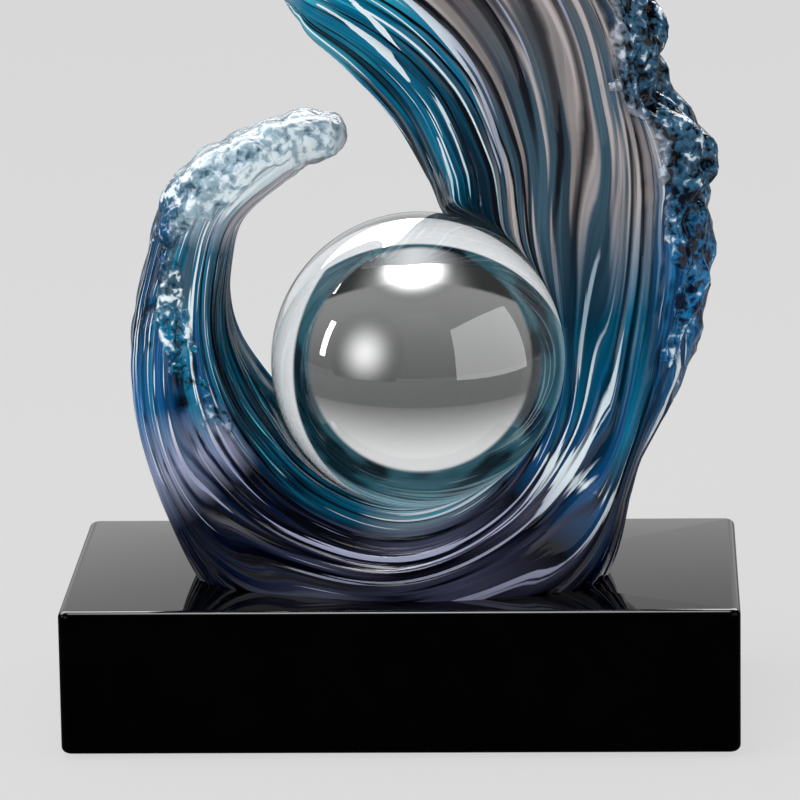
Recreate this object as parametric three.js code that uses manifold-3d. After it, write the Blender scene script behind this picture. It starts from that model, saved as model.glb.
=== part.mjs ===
// Resin wave sculpture with a loose crystal ball, on a polished black plinth.
// Millimetres, +Z up, front towards -Y. The origin is on the table, under the middle of the plinth.
import * as THREE from "three";
import { mergeVertices } from "three/addons/utils/BufferGeometryUtils.js";
import Module from "manifold-3d";

const wasm = await Module();
wasm.setup();

// Driving dimensions: plinth
const PLINTH_WIDTH = 180;
const PLINTH_DEPTH = 100;
const PLINTH_HEIGHT = 39;
const PLINTH_CORNER_RADIUS = 3;
const PLINTH_EDGE_RADIUS = 1.8;

// Driving dimensions: table pads under the plinth
const PAD_DIAMETER = 16;
const PAD_THICKNESS = 2;
const PAD_STANDS_PROUD = 1;
const PAD_CHAMFER = 0.4;
const PAD_INSET = 14;

// Driving dimensions: crystal ball, the seat that it lies in, and the way out of the seat: forwards, rising,
// and swinging to the left of straight ahead
const BALL_DIAMETER = 80;
const BALL_ACROSS = 4.8;
const BALL_FLOOR = 16.5;
const LIFT_TRAVEL = 140;
const LIFT_RISE_ANGLE = 25;
const LIFT_SWING_ANGLE = 15;

// Driving dimensions: fixings between the plinth and the casting
const FIXING_SPACING = 56;
const SCREW_DIAMETER = 5;
const SCREW_LENGTH = 45;
const SCREW_HEAD_DIAMETER = 9.5;
const SCREW_HEAD_HEIGHT = 3.2;
const SCREW_POINT = 0.8;
const HEX_KEY_SIZE = 3;
const HEX_KEY_DEPTH = 1.8;
const WASHER_DIAMETER = 12;
const WASHER_THICKNESS = 1;
const COUNTERBORE_DIAMETER = 15;
const INSERT_DIAMETER = 8;
const INSERT_LENGTH = 12;
const INSERT_COLLAR = 1;
const INSERT_GROOVE = 0.5;
const FIT_CLEARANCE = 0.3;

// Driving dimensions: flow ribs and foam of the casting
const RIB_COUNT = 18;
const RIB_HEIGHT = 1.5;
const FOAM_HEIGHT = 3.4;
const FOAM_LUMP = 17;
const FULL_RELIEF_WIDTH = 16;
const CURL_FOAM_REACH = 0.45;
const SECTION_SQUARENESS = 2.8;
const TIP_ROUNDING = 0.5;
const TIP_SHARE = 0.12;

// Driving dimensions: the stream, whose stations hold percentages of these, and how far to the right of the
// plinth's middle it goes round
const STREAM_ACROSS = 6;
const STREAM_RISE = 100;
const STREAM_WIDTH = 100;
const STREAM_DEPTH = 100;
const STATION_PITCH = 29;
const PINCH = 0.55;
const PINCH_STATION = 9.2;
const PINCH_REACH = 2;

// The stream goes once round the ball, anticlockwise from the front, from the tip of the small curl at
// the left to the tip of the tall crest. Each station is a section across it: turn in degrees round the
// ball, rise from the ball's surface to the middle of the section, half-widths towards the ball (inner)
// and away from it (outer), half-depth front to back, set-back to the rear, lean of the section about
// the stream (positive turns its inner face to the front), and how much of it is foam, from 0 to 1.
// Rises are percentages of STREAM_RISE, half-widths of STREAM_WIDTH, half-depths and set-backs of STREAM_DEPTH.
const STREAM = [
  { turn: 108, rise: 24, inner: 5, outer: 5, depth: 7, back: 0, lean: 0, foam: 1 },
  { turn: 116.5, rise: 28.7, inner: 7, outer: 6.5, depth: 9, back: 0, lean: 0, foam: 1 },
  { turn: 127.6, rise: 29.6, inner: 8.5, outer: 8.5, depth: 13, back: 0, lean: 0, foam: 1 },
  { turn: 142.3, rise: 29.6, inner: 9, outer: 12, depth: 16, back: 0, lean: 0, foam: 1 },
  { turn: 155.8, rise: 26.9, inner: 9.5, outer: 11.8, depth: 18, back: 0, lean: 0, foam: 0.9 },
  { turn: 169.7, rise: 24.5, inner: 10.2, outer: 13.8, depth: 21, back: 0, lean: 2, foam: 0.6 },
  { turn: 186, rise: 22.3, inner: 14.4, outer: 15.5, depth: 24, back: 0, lean: 6, foam: 0.25 },
  { turn: 206.1, rise: 20.1, inner: 20, outer: 17.6, depth: 28, back: 2, lean: 12, foam: 0 },
  { turn: 233.4, rise: 15.4, inner: 22, outer: 29, depth: 35, back: 1, lean: 16, foam: 0 },
  { turn: 266.7, rise: 12.6, inner: 22, outer: 20, depth: 40, back: 0, lean: 18, foam: 0 },
  { turn: 301.2, rise: 12, inner: 24, outer: 25, depth: 37, back: 3, lean: 12, foam: 0 },
  { turn: 336.4, rise: 11.3, inner: 24, outer: 14, depth: 29, back: 10, lean: 2, foam: 0.1 },
  { turn: 369.5, rise: 11.7, inner: 27, outer: 24.5, depth: 27, back: 17, lean: -6, foam: 0.6 },
  { turn: 399.7, rise: 17.2, inner: 33, outer: 32.5, depth: 26, back: 17, lean: 6, foam: 1 },
  { turn: 420.4, rise: 33, inner: 37.8, outer: 31, depth: 25, back: 14, lean: 18, foam: 1 },
  { turn: 435.6, rise: 52.4, inner: 39.2, outer: 37, depth: 24, back: 10, lean: 25, foam: 1 },
  { turn: 448.5, rise: 71.5, inner: 41.5, outer: 36, depth: 21, back: 6, lean: 27, foam: 1 },
  { turn: 460.4, rise: 87.6, inner: 31.5, outer: 29, depth: 16, back: 3, lean: 22, foam: 1 },
  { turn: 471.7, rise: 95.1, inner: 18, outer: 18, depth: 10, back: 0, lean: 12, foam: 1 },
  { turn: 482, rise: 94, inner: 4, outer: 4, depth: 3, back: 0, lean: 0, foam: 1 },
];

// Resolution of the facets
const RINGS_PER_STATION = 3;
const POINTS_PER_RIB = 4;
const BALL_FACETS = 8;
const ROUND_SEGMENTS = 24;
const EDGE_SEGMENTS = 3;

// Sizes that follow from the driving dimensions
const BALL_RADIUS = BALL_DIAMETER / 2;
const PLINTH_BOTTOM = PAD_STANDS_PROUD;
const PLINTH_TOP = PLINTH_BOTTOM + PLINTH_HEIGHT;
const BALL_CENTRE = new THREE.Vector3(BALL_ACROSS, 0, PLINTH_TOP + BALL_FLOOR + BALL_RADIUS);
const SCREW_TIP = PLINTH_TOP + INSERT_LENGTH - FIT_CLEARANCE;
const HEAD_SEAT = SCREW_TIP - SCREW_LENGTH;
const WASHER_SEAT = HEAD_SEAT + WASHER_THICKNESS;
const FIXING_PLACES = { left: -FIXING_SPACING / 2, right: FIXING_SPACING / 2 };
const PAD_PLACES = {
  front_left: [-1, -1],
  front_right: [1, -1],
  rear_left: [-1, 1],
  rear_right: [1, 1],
};

const MATERIALS = {
  blackResin: new THREE.MeshStandardMaterial({ color: 0x050506, roughness: 0.08, metalness: 0 }),
  tintedResin: new THREE.MeshStandardMaterial({ color: 0x1d5f82, roughness: 0.06, metalness: 0 }),
  crystal: new THREE.MeshStandardMaterial({ color: 0xdfe3e6, roughness: 0.02, metalness: 0 }),
  brass: new THREE.MeshStandardMaterial({ color: 0xb08d45, roughness: 0.35, metalness: 1 }),
  steel: new THREE.MeshStandardMaterial({ color: 0x9a9da0, roughness: 0.35, metalness: 1 }),
  felt: new THREE.MeshStandardMaterial({ color: 0x17181a, roughness: 0.95, metalness: 0 }),
};

// Booleans

function solidOf(geometry) {
  const bare = geometry.clone();
  bare.deleteAttribute("normal");
  bare.deleteAttribute("uv");
  const merged = mergeVertices(bare, 1e-4);
  return new wasm.Manifold(
    new wasm.Mesh({
      numProp: 3,
      vertProperties: new Float32Array(merged.attributes.position.array),
      triVerts: new Uint32Array(merged.index.array),
    }),
  );
}

function geometryOf(solid) {
  const mesh = solid.getMesh();
  const geometry = new THREE.BufferGeometry();
  geometry.setAttribute("position", new THREE.BufferAttribute(mesh.vertProperties, 3));
  geometry.setIndex(new THREE.BufferAttribute(mesh.triVerts, 1));
  geometry.computeVertexNormals();
  return geometry;
}

function cutFrom(geometry, tools) {
  return geometryOf(tools.reduce((solid, tool) => solid.subtract(solidOf(tool)), solidOf(geometry)));
}

// Shapes

// A turned solid about +Z: its profile is a list of [radius, height], from the bottom of the axis to the top.
function turned(profile, segments = ROUND_SEGMENTS) {
  const points = profile.map(([radius, height]) => new THREE.Vector2(radius, height));
  return new THREE.LatheGeometry(points, segments).rotateX(Math.PI / 2);
}

function cylinder(diameter, bottom, top) {
  return turned([[0, bottom], [diameter / 2, bottom], [diameter / 2, top], [0, top]]);
}

function roundedBlock(width, depth, height, cornerRadius, edgeRadius) {
  const outline = new THREE.Shape();
  const x = width / 2 - cornerRadius;
  const y = depth / 2 - cornerRadius;
  outline.absarc(x, -y, cornerRadius, -Math.PI / 2, 0);
  outline.absarc(x, y, cornerRadius, 0, Math.PI / 2);
  outline.absarc(-x, y, cornerRadius, Math.PI / 2, Math.PI);
  outline.absarc(-x, -y, cornerRadius, Math.PI, 1.5 * Math.PI);
  return new THREE.ExtrudeGeometry(outline, {
    depth: height - 2 * edgeRadius,
    bevelThickness: edgeRadius,
    bevelSize: edgeRadius,
    bevelOffset: -edgeRadius,
    bevelSegments: EDGE_SEGMENTS,
    curveSegments: EDGE_SEGMENTS,
  }).translate(0, 0, edgeRadius);
}

function ballOf(radius) {
  return new THREE.IcosahedronGeometry(radius, BALL_FACETS);
}

// Way out of the seat, from the middle of the ball.
function liftChannel(radius) {
  const rise = THREE.MathUtils.degToRad(LIFT_RISE_ANGLE);
  const swing = THREE.MathUtils.degToRad(LIFT_SWING_ANGLE);
  return new THREE.CylinderGeometry(radius, radius, LIFT_TRAVEL, 2 * ROUND_SEGMENTS)
    .translate(0, LIFT_TRAVEL / 2, 0)
    .rotateX(Math.PI - rise)
    .rotateZ(-swing);
}

// The wave

const ONE_PERCENT = {
  rise: STREAM_RISE / 100,
  inner: STREAM_WIDTH / 100,
  outer: STREAM_WIDTH / 100,
  depth: STREAM_DEPTH / 100,
  back: STREAM_DEPTH / 100,
};

// One size of the stations as a smooth curve along the stream, read at a station number that may be a fraction.
function sizeAlong(name) {
  const points = STREAM.map((station, i) => new THREE.Vector3(station[name], i, 0));
  const curve = new THREE.CatmullRomCurve3(points, false, "catmullrom", 0.5);
  const unit = ONE_PERCENT[name] ?? 1;
  return (station) => unit * curve.getPoint(station / (STREAM.length - 1)).x;
}

const along = Object.fromEntries(Object.keys(STREAM[0]).map((name) => [name, sizeAlong(name)]));

// Middle of the section at a station, from the middle of the ball, in the plane of the front view.
function streamMiddle(station) {
  const angle = THREE.MathUtils.degToRad(along.turn(station));
  const reach = BALL_RADIUS + along.rise(station);
  return new THREE.Vector2(reach * Math.cos(angle), reach * Math.sin(angle));
}

// Axes of the section: across points towards the ball, through points to the rear, both leaning together.
function sectionAxes(station) {
  const step = 0.02;
  const ahead = Math.min(station + step, STREAM.length - 1);
  const behind = Math.max(station - step, 0);
  const run = streamMiddle(ahead).sub(streamMiddle(behind)).normalize();
  const inward = new THREE.Vector3(-run.y, 0, run.x);
  const rear = new THREE.Vector3(0, 1, 0);
  const lean = THREE.MathUtils.degToRad(along.lean(station));
  return {
    across: inward.clone().multiplyScalar(Math.cos(lean)).addScaledVector(rear, -Math.sin(lean)),
    through: rear.clone().multiplyScalar(Math.cos(lean)).addScaledVector(inward, Math.sin(lean)),
  };
}

// Share of a section's size that is left towards the two tips, which are round.
function tipShare(station) {
  const toTip = Math.min(station, STREAM.length - 1 - station);
  const cut = 1 - Math.min(1, toTip / TIP_ROUNDING);
  return Math.max(TIP_SHARE, Math.sqrt(1 - cut * cut));
}

// Flow lines wander round the section, and under the ball they are pinched up into the gap over the plinth:
// the angle at which line number phi, in radians, runs at a station.
function lineAngle(phi, station) {
  const wander = phi + 0.09 * Math.sin(2 * phi + 0.45 * station) + 0.05 * Math.sin(5 * phi - 0.8 * station);
  const open = 1 - PINCH * Math.exp(-(((station - PINCH_STATION) / PINCH_REACH) ** 2));
  return 2 * Math.atan2(open * Math.sin(wander / 2), Math.cos(wander / 2));
}

// Height of the ribs, sharp in the grooves and round on top, each rib swelling and fading by itself.
function ribHeight(phi, station) {
  const rib = Math.round((phi * RIB_COUNT) / (2 * Math.PI));
  const swell = 0.55 + 0.45 * Math.sin(2.4 * rib + 0.9 * station);
  return swell * (Math.abs(Math.cos((phi * RIB_COUNT) / 2)) - 0.5);
}

// Height of the foam lumps: two crossed billows on the surface, in lengths along the stream and round it.
function foamHeight(alongStream, round) {
  const u = (alongStream * Math.PI) / FOAM_LUMP;
  const v = (round * Math.PI) / FOAM_LUMP;
  const billow = Math.abs(Math.sin(u + 0.8 * Math.sin(v))) + Math.abs(Math.sin(1.3 * v + 0.9 * Math.sin(0.7 * u)));
  return billow - 0.9;
}

// Share of foam on the skin: it covers the outer side of the stream, further in on the small curl, and all
// of the two tips.
function foamShare(angle, station) {
  const toTip = Math.min(station, STREAM.length - 1 - station);
  const tip = 1 - THREE.MathUtils.smoothstep(toTip, 0.6, 2.2);
  const reach = CURL_FOAM_REACH * (1 - THREE.MathUtils.smoothstep(station, 3.5, 7));
  const outside = THREE.MathUtils.smoothstep(reach - Math.cos(angle), 0.25, 0.85);
  return THREE.MathUtils.clamp(along.foam(station), 0, 1) * Math.max(tip, outside);
}

function skinPoint(phi, station) {
  const angle = lineAngle(phi, station);
  const power = 2 / SECTION_SQUARENESS;
  const cos = Math.cos(angle);
  const sin = Math.sin(angle);
  const width = tipShare(station) * (cos > 0 ? along.inner(station) : along.outer(station));
  const depth = tipShare(station) * along.depth(station);
  const { across, through } = sectionAxes(station);
  const offset = new THREE.Vector3()
    .addScaledVector(across, width * Math.sign(cos) * Math.abs(cos) ** power)
    .addScaledVector(through, depth * Math.sign(sin) * Math.abs(sin) ** power);
  const size = Math.min(1, Math.min(width, depth) / FULL_RELIEF_WIDTH);
  const foam = foamShare(angle, station);
  const length = station * STATION_PITCH;
  const relief = RIB_HEIGHT * (1 - foam) * ribHeight(phi, station)
    + FOAM_HEIGHT * foam * foamHeight(length, angle * 0.5 * (width + depth));
  const middle = streamMiddle(station);
  return new THREE.Vector3(middle.x, along.back(station), middle.y)
    .add(offset)
    .addScaledVector(offset.normalize(), size * relief);
}

// Skin of rings across the stream, closed at both tips by a point in the middle of the last ring.
function streamSkin() {
  const round = RIB_COUNT * POINTS_PER_RIB;
  const rings = (STREAM.length - 1) * RINGS_PER_STATION;
  const points = [];
  const faces = [];
  for (let i = 0; i <= rings; i++) {
    for (let j = 0; j < round; j++) {
      points.push(skinPoint((2 * Math.PI * j) / round, i / RINGS_PER_STATION));
    }
  }
  for (let i = 0; i < rings; i++) {
    for (let j = 0; j < round; j++) {
      const a = i * round + j;
      const b = i * round + ((j + 1) % round);
      faces.push(a, a + round, b, b, a + round, b + round);
    }
  }
  for (const [ring, forward] of [[0, true], [rings, false]]) {
    const first = ring * round;
    const tip = new THREE.Vector3();
    for (let j = 0; j < round; j++) tip.addScaledVector(points[first + j], 1 / round);
    const at = points.push(tip) - 1;
    for (let j = 0; j < round; j++) {
      const here = first + j;
      const next = first + ((j + 1) % round);
      if (forward) faces.push(at, here, next);
      else faces.push(at, next, here);
    }
  }
  const geometry = new THREE.BufferGeometry().setFromPoints(points);
  geometry.setIndex(faces);
  return geometry;
}

// Pieces

function plinthGeometry() {
  const block = roundedBlock(PLINTH_WIDTH, PLINTH_DEPTH, PLINTH_HEIGHT, PLINTH_CORNER_RADIUS, PLINTH_EDGE_RADIUS)
    .translate(0, 0, PLINTH_BOTTOM);
  const recessTop = PAD_THICKNESS;
  const recesses = Object.values(PAD_PLACES).map(([sideX, sideY]) =>
    cylinder(PAD_DIAMETER + 2 * FIT_CLEARANCE, PLINTH_BOTTOM - 1, recessTop)
      .translate(sideX * (PLINTH_WIDTH / 2 - PAD_INSET), sideY * (PLINTH_DEPTH / 2 - PAD_INSET), 0));
  const holes = Object.values(FIXING_PLACES).flatMap((x) => [
    cylinder(COUNTERBORE_DIAMETER, PLINTH_BOTTOM - 1, WASHER_SEAT).translate(x, 0, 0),
    cylinder(SCREW_DIAMETER + 2 * FIT_CLEARANCE, PLINTH_BOTTOM - 1, PLINTH_TOP + 1).translate(x, 0, 0),
  ]);
  return cutFrom(block, [...recesses, ...holes]);
}

function waveGeometry() {
  const skin = streamSkin().translate(STREAM_ACROSS, BALL_CENTRE.y, BALL_CENTRE.z);
  const below = new THREE.BoxGeometry(3 * PLINTH_WIDTH, 3 * PLINTH_DEPTH, 3 * PLINTH_HEIGHT)
    .translate(0, 0, PLINTH_TOP - 1.5 * PLINTH_HEIGHT);
  const seat = [ballOf, liftChannel].map((shape) =>
    shape(BALL_RADIUS + FIT_CLEARANCE).translate(BALL_CENTRE.x, BALL_CENTRE.y, BALL_CENTRE.z));
  const pockets = Object.values(FIXING_PLACES).map((x) =>
    cylinder(INSERT_DIAMETER + 2 * FIT_CLEARANCE, PLINTH_TOP - 1, PLINTH_TOP + INSERT_LENGTH + FIT_CLEARANCE)
      .translate(x, 0, 0));
  return cutFrom(skin, [below, ...seat, ...pockets]);
}

function insertGeometry() {
  const outer = INSERT_DIAMETER / 2;
  const bore = SCREW_DIAMETER / 2 + FIT_CLEARANCE;
  const waist = outer - INSERT_GROOVE;
  const [low, high] = [INSERT_COLLAR, INSERT_LENGTH - INSERT_COLLAR];
  return turned([
    [bore, 0], [outer, 0], [outer, low], [waist, low], [waist, high],
    [outer, high], [outer, INSERT_LENGTH], [bore, INSERT_LENGTH], [bore, 0],
  ]);
}

function screwGeometry() {
  const shank = SCREW_DIAMETER / 2;
  const head = SCREW_HEAD_DIAMETER / 2;
  const shoulder = SCREW_HEAD_HEIGHT * 0.45;
  const body = turned([
    [0, -SCREW_HEAD_HEIGHT], [head * 0.72, -SCREW_HEAD_HEIGHT], [head, -shoulder], [head, 0], [shank, 0],
    [shank, SCREW_LENGTH - SCREW_POINT], [shank - SCREW_POINT, SCREW_LENGTH], [0, SCREW_LENGTH],
  ]);
  const key = new THREE.CylinderGeometry(HEX_KEY_SIZE / Math.sqrt(3), HEX_KEY_SIZE / Math.sqrt(3), 2 * HEX_KEY_DEPTH, 6)
    .rotateX(Math.PI / 2)
    .translate(0, 0, -SCREW_HEAD_HEIGHT);
  return cutFrom(body, [key]);
}

function washerGeometry() {
  const outer = WASHER_DIAMETER / 2;
  const bore = SCREW_DIAMETER / 2 + FIT_CLEARANCE;
  return turned([[bore, 0], [outer, 0], [outer, WASHER_THICKNESS], [bore, WASHER_THICKNESS], [bore, 0]]);
}

function padGeometry() {
  const radius = PAD_DIAMETER / 2;
  return turned([
    [0, 0], [radius - PAD_CHAMFER, 0], [radius, PAD_CHAMFER], [radius, PAD_THICKNESS], [0, PAD_THICKNESS],
  ]);
}

// Assembly

const sculpture = new THREE.Group();

function place(name, geometry, material, x = 0, y = 0, z = 0) {
  const mesh = new THREE.Mesh(geometry, material);
  mesh.name = name;
  mesh.position.set(x, y, z);
  sculpture.add(mesh);
}

place("plinth", plinthGeometry(), MATERIALS.blackResin);
place("wave_casting", waveGeometry(), MATERIALS.tintedResin);
place("crystal_ball", ballOf(BALL_RADIUS), MATERIALS.crystal, BALL_CENTRE.x, BALL_CENTRE.y, BALL_CENTRE.z);
for (const [side, x] of Object.entries(FIXING_PLACES)) {
  place(`threaded_insert_${side}`, insertGeometry(), MATERIALS.brass, x, 0, PLINTH_TOP);
  place(`fixing_screw_${side}`, screwGeometry(), MATERIALS.steel, x, 0, HEAD_SEAT);
  place(`washer_${side}`, washerGeometry(), MATERIALS.steel, x, 0, HEAD_SEAT);
}
for (const [corner, [sideX, sideY]] of Object.entries(PAD_PLACES)) {
  const x = sideX * (PLINTH_WIDTH / 2 - PAD_INSET);
  const y = sideY * (PLINTH_DEPTH / 2 - PAD_INSET);
  place(`table_pad_${corner}`, padGeometry(), MATERIALS.felt, x, y, 0);
}

export default sculpture;
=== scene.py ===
"""Resin wave sculpture with a loose crystal ball on a polished black plinth, dressed for a studio picture.

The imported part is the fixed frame. The wave is made again at a finer grain, from sections that follow
those of the part's own source within a few millimetres. The ball, plinth, pads and fixings get finished
pieces in the same places, and a plain studio stands round them. Sizes are millimetres in the frame of the
part, apart from those of lamps and cards, which are metres. Meshes are made in metres.
"""

from __future__ import annotations

import logging
import math
from dataclasses import dataclass, field, fields
from enum import Enum
from typing import Callable, Sequence, Union

import bmesh
import bpy
import numpy as np
from mathutils import Euler, Matrix, Vector, noise

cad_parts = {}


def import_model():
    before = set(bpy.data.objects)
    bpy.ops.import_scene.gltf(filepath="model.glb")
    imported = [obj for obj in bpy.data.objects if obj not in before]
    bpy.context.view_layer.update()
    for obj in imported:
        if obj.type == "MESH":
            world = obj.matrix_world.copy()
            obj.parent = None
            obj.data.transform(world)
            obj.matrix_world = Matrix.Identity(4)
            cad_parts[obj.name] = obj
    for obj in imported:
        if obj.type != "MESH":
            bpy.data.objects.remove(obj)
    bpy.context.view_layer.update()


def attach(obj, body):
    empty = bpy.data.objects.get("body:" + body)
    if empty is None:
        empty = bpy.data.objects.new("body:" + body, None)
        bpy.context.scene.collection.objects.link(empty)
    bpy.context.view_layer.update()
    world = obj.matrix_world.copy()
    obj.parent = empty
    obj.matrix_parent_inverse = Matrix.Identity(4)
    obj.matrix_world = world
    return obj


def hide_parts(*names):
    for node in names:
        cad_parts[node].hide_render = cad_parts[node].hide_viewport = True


LOG = logging.getLogger("wave_sculpture")
MM = 0.001

Span = tuple[float, float]
Triple = tuple[float, float, float]
Inputs = dict[Union[int, str], object]

# Sizes that several pieces share
BALL_RADIUS = 40.0
BALL_CENTRE = (4.8, 0.0, 96.5)
PLINTH_TOP = 40.0
FIXING_SPACING = 56.0
PAD_REACH = (76.0, 36.0)


class Side(Enum):
    """Side of the sculpture, as the sign of X."""

    LEFT = -1
    RIGHT = 1


class Corner(Enum):
    """Corner of the plinth, as the signs of X and Y."""

    FRONT_LEFT = (-1, -1)
    FRONT_RIGHT = (1, -1)
    REAR_LEFT = (-1, 1)
    REAR_RIGHT = (1, 1)


class Hue(Enum):
    """Colours of the resin, as linear colours: pigments, and also the painted shade, painted reflections and
    painted highlights.
    """

    INK = (0.0006, 0.001, 0.004)
    NAVY = (0.002, 0.008, 0.034)
    DEEP_TEAL = (0.0008, 0.026, 0.055)
    TEAL = (0.002, 0.15, 0.28)
    CYAN = (0.04, 0.5, 0.66)
    BLUE = (0.004, 0.075, 0.22)
    SEA = (0.012, 0.2, 0.46)
    STEEL = (0.03, 0.11, 0.2)
    SLATE = (0.045, 0.1, 0.145)
    TAUPE = (0.5, 0.45, 0.445)
    UMBER = (0.1, 0.088, 0.095)
    DUSK = (0.006, 0.007, 0.012)
    HAZE = (0.2, 0.25, 0.4)
    VIOLET = (0.045, 0.048, 0.09)
    LAVENDER = (0.32, 0.34, 0.48)
    PEARL = (0.52, 0.48, 0.52)
    MIST = (0.3, 0.42, 0.5)
    FOAM = (0.72, 0.82, 0.87)


# Names of a tint's colours, which are also names of attributes of the wave's mesh: the grooves' painted
# shade, the crests' pigment that is partly painted reflection, stains, and painted highlights that on foam
# are also pale foam
TONES = ("dark", "light", "stain", "vein")


# Shader tools


class Signal:
    """An output socket that takes part in Python arithmetic; each operation adds a Math node."""

    def __init__(self, nodes: Nodes, socket: bpy.types.NodeSocket | None) -> None:
        """Wraps a socket of a node tree."""
        self.nodes = nodes
        self.socket = socket

    def _math(self, operation: str, first: object, second: object) -> Signal:
        """Adds one Math node on two values."""
        return self.nodes.add("ShaderNodeMath", {"operation": operation}, {0: first, 1: second})

    def __add__(self, other: object) -> Signal:
        """Sum."""
        return self._math("ADD", self, other)

    def __radd__(self, other: object) -> Signal:
        """Sum with a number on the left."""
        return self._math("ADD", other, self)

    def __sub__(self, other: object) -> Signal:
        """Difference."""
        return self._math("SUBTRACT", self, other)

    def __rsub__(self, other: object) -> Signal:
        """Difference from a number on the left."""
        return self._math("SUBTRACT", other, self)

    def __mul__(self, other: object) -> Signal:
        """Product."""
        return self._math("MULTIPLY", self, other)

    def __rmul__(self, other: object) -> Signal:
        """Product with a number on the left."""
        return self._math("MULTIPLY", other, self)

    def __truediv__(self, other: object) -> Signal:
        """Quotient."""
        return self._math("DIVIDE", self, other)


class Nodes:
    """A node tree that is filled from Python expressions."""

    def __init__(self, tree: bpy.types.NodeTree) -> None:
        """Empties a tree and keeps it."""
        self.tree = tree
        tree.nodes.clear()

    def add(
        self,
        kind: str,
        settings: dict[str, object] | None = None,
        inputs: Inputs | None = None,
        output: int | str = 0,
    ) -> Signal:
        """Adds a node.

        Args:
            kind: The node's type.
            settings: Values of the node itself, such as a Math node's operation, set first.
            inputs: Value or link of each socket, by name or number.
            output: The output that the result wraps.

        Returns:
            The chosen output of the new node, or an empty signal where it has none.
        """
        node = self.tree.nodes.new(kind)
        for name, value in (settings or {}).items():
            setattr(node, name, value)
        for key, value in (inputs or {}).items():
            if isinstance(value, Signal):
                self.tree.links.new(value.socket, node.inputs[key])
            else:
                node.inputs[key].default_value = value
        return Signal(self, node.outputs[output] if node.outputs else None)

    def step(self, value: Signal, low: float, high: float) -> Signal:
        """Smooth step of a value from low to high."""
        return self.add(
            "ShaderNodeMapRange",
            {"interpolation_type": "SMOOTHSTEP"},
            {"Value": value, "From Min": low, "From Max": high},
        )

    def larger(self, first: object, second: object) -> Signal:
        """The larger of two values."""
        return self.add("ShaderNodeMath", {"operation": "MAXIMUM"}, {0: first, 1: second})

    def blend(self, share: object, first: object, second: object) -> Signal:
        """Number that goes from first to second with the share."""
        return self.add("ShaderNodeMix", {"data_type": "FLOAT"}, {0: share, 2: first, 3: second}, 0)

    def tint(self, share: object, first: object, second: object) -> Signal:
        """Colour that goes from first to second with the share."""
        return self.add("ShaderNodeMix", {"data_type": "RGBA"}, {0: share, 6: first, 7: second}, 2)

    def attribute(self, name: str, output: str = "Fac") -> Signal:
        """Named attribute of the mesh."""
        return self.add("ShaderNodeAttribute", {"attribute_name": name}, None, output)

    def place(self) -> Signal:
        """Object coordinates."""
        return self.add("ShaderNodeTexCoord", None, None, "Object")

    def axis(self, vector: Signal, name: str) -> Signal:
        """One axis of a vector, by its letter."""
        return self.add("ShaderNodeSeparateXYZ", None, {0: vector}, name)

    def ray(self, kind: str) -> Signal:
        """1 for rays of a kind."""
        return self.add("ShaderNodeLightPath", None, None, kind)

    def stretched(self, vector: Signal, by: Triple) -> Signal:
        """Vector stretched along its axes."""
        return self.add("ShaderNodeVectorMath", {"operation": "MULTIPLY"}, {0: vector, 1: by})

    def grain(
        self, vector: Signal, scale: float = 1.0, detail: float = 2.0, distortion: float = 0.0
    ) -> Signal:
        """Adds noise.

        Args:
            vector: What it is laid on.
            scale: Its scale.
            detail: Number of finer layers.
            distortion: How far it is warped.

        Returns:
            The noise, from 0 to 1.
        """
        return self.add(
            "ShaderNodeTexNoise",
            {"noise_dimensions": "3D"},
            {"Vector": vector, "Scale": scale, "Detail": detail, "Distortion": distortion},
            "Fac",
        )

    def bump(self, height: Signal, distance: float) -> Signal:
        """Normal of a height in metres."""
        return self.add("ShaderNodeBump", None, {"Height": height, "Distance": distance, "Strength": 1.0})


def new_material(name: str) -> tuple[bpy.types.Material, Nodes]:
    """Makes a material with an empty node tree.

    Args:
        name: Its name.

    Returns:
        The material and its tree.
    """
    made = bpy.data.materials.new(name)
    made.use_nodes = True
    return made, Nodes(made.node_tree)


class Finish:
    """A finish that makes one material."""

    name = "finish"

    def material(self) -> bpy.types.Material:
        """Makes the material of this finish.

        Returns:
            The new material, ready to assign.
        """
        made, nodes = new_material(self.name)
        shader = nodes.add("ShaderNodeBsdfPrincipled", None, self.sockets(nodes))
        nodes.add("ShaderNodeOutputMaterial", None, {"Surface": shader})
        return made

    def sockets(self, nodes: Nodes) -> Inputs:
        """Values and links of the shader's sockets."""
        raise NotImplementedError


@dataclass(frozen=True)
class PolishedBlack(Finish):
    """Deep black resin: satin sides, and a lacquered top that mirrors at a glancing view."""

    name: str = "polished_black_resin"
    colour: Triple = (0.0003, 0.0003, 0.0004)
    haze: Triple = (0.0006, 0.0006, 0.0008)
    haze_scale: float = 90.0
    haze_span: Span = (0.35, 0.75)
    rub_scale: Triple = (900.0, 60.0, 900.0)
    roughness: float = 0.05
    haze_roughness: float = 0.02
    rub_roughness: float = 0.015
    ior: float = 1.07
    lacquer_ior: float = 1.25
    lacquer_roughness: float = 0.03
    lacquer_from: float = 38.2
    lacquer_to: float = 39.8

    def sockets(self, nodes: Nodes) -> Inputs:
        """Black with hair-fine polishing haze, lacquered by height.

        Args:
            nodes: The tree.

        Returns:
            Values and links of the shader's sockets.
        """
        place = nodes.place()
        height = nodes.axis(place, "Z")
        haze = nodes.step(nodes.grain(place, self.haze_scale, detail=4.0), *self.haze_span)
        rub = nodes.grain(nodes.stretched(place, self.rub_scale), detail=3.0)
        return {
            "Base Color": nodes.tint(haze, (*self.colour, 1.0), (*self.haze, 1.0)),
            "Roughness": self.roughness + haze * self.haze_roughness + rub * self.rub_roughness,
            "IOR": self.ior,
            "Coat Weight": nodes.step(height, self.lacquer_from * MM, self.lacquer_to * MM),
            "Coat IOR": self.lacquer_ior,
            "Coat Roughness": self.lacquer_roughness,
        }


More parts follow.
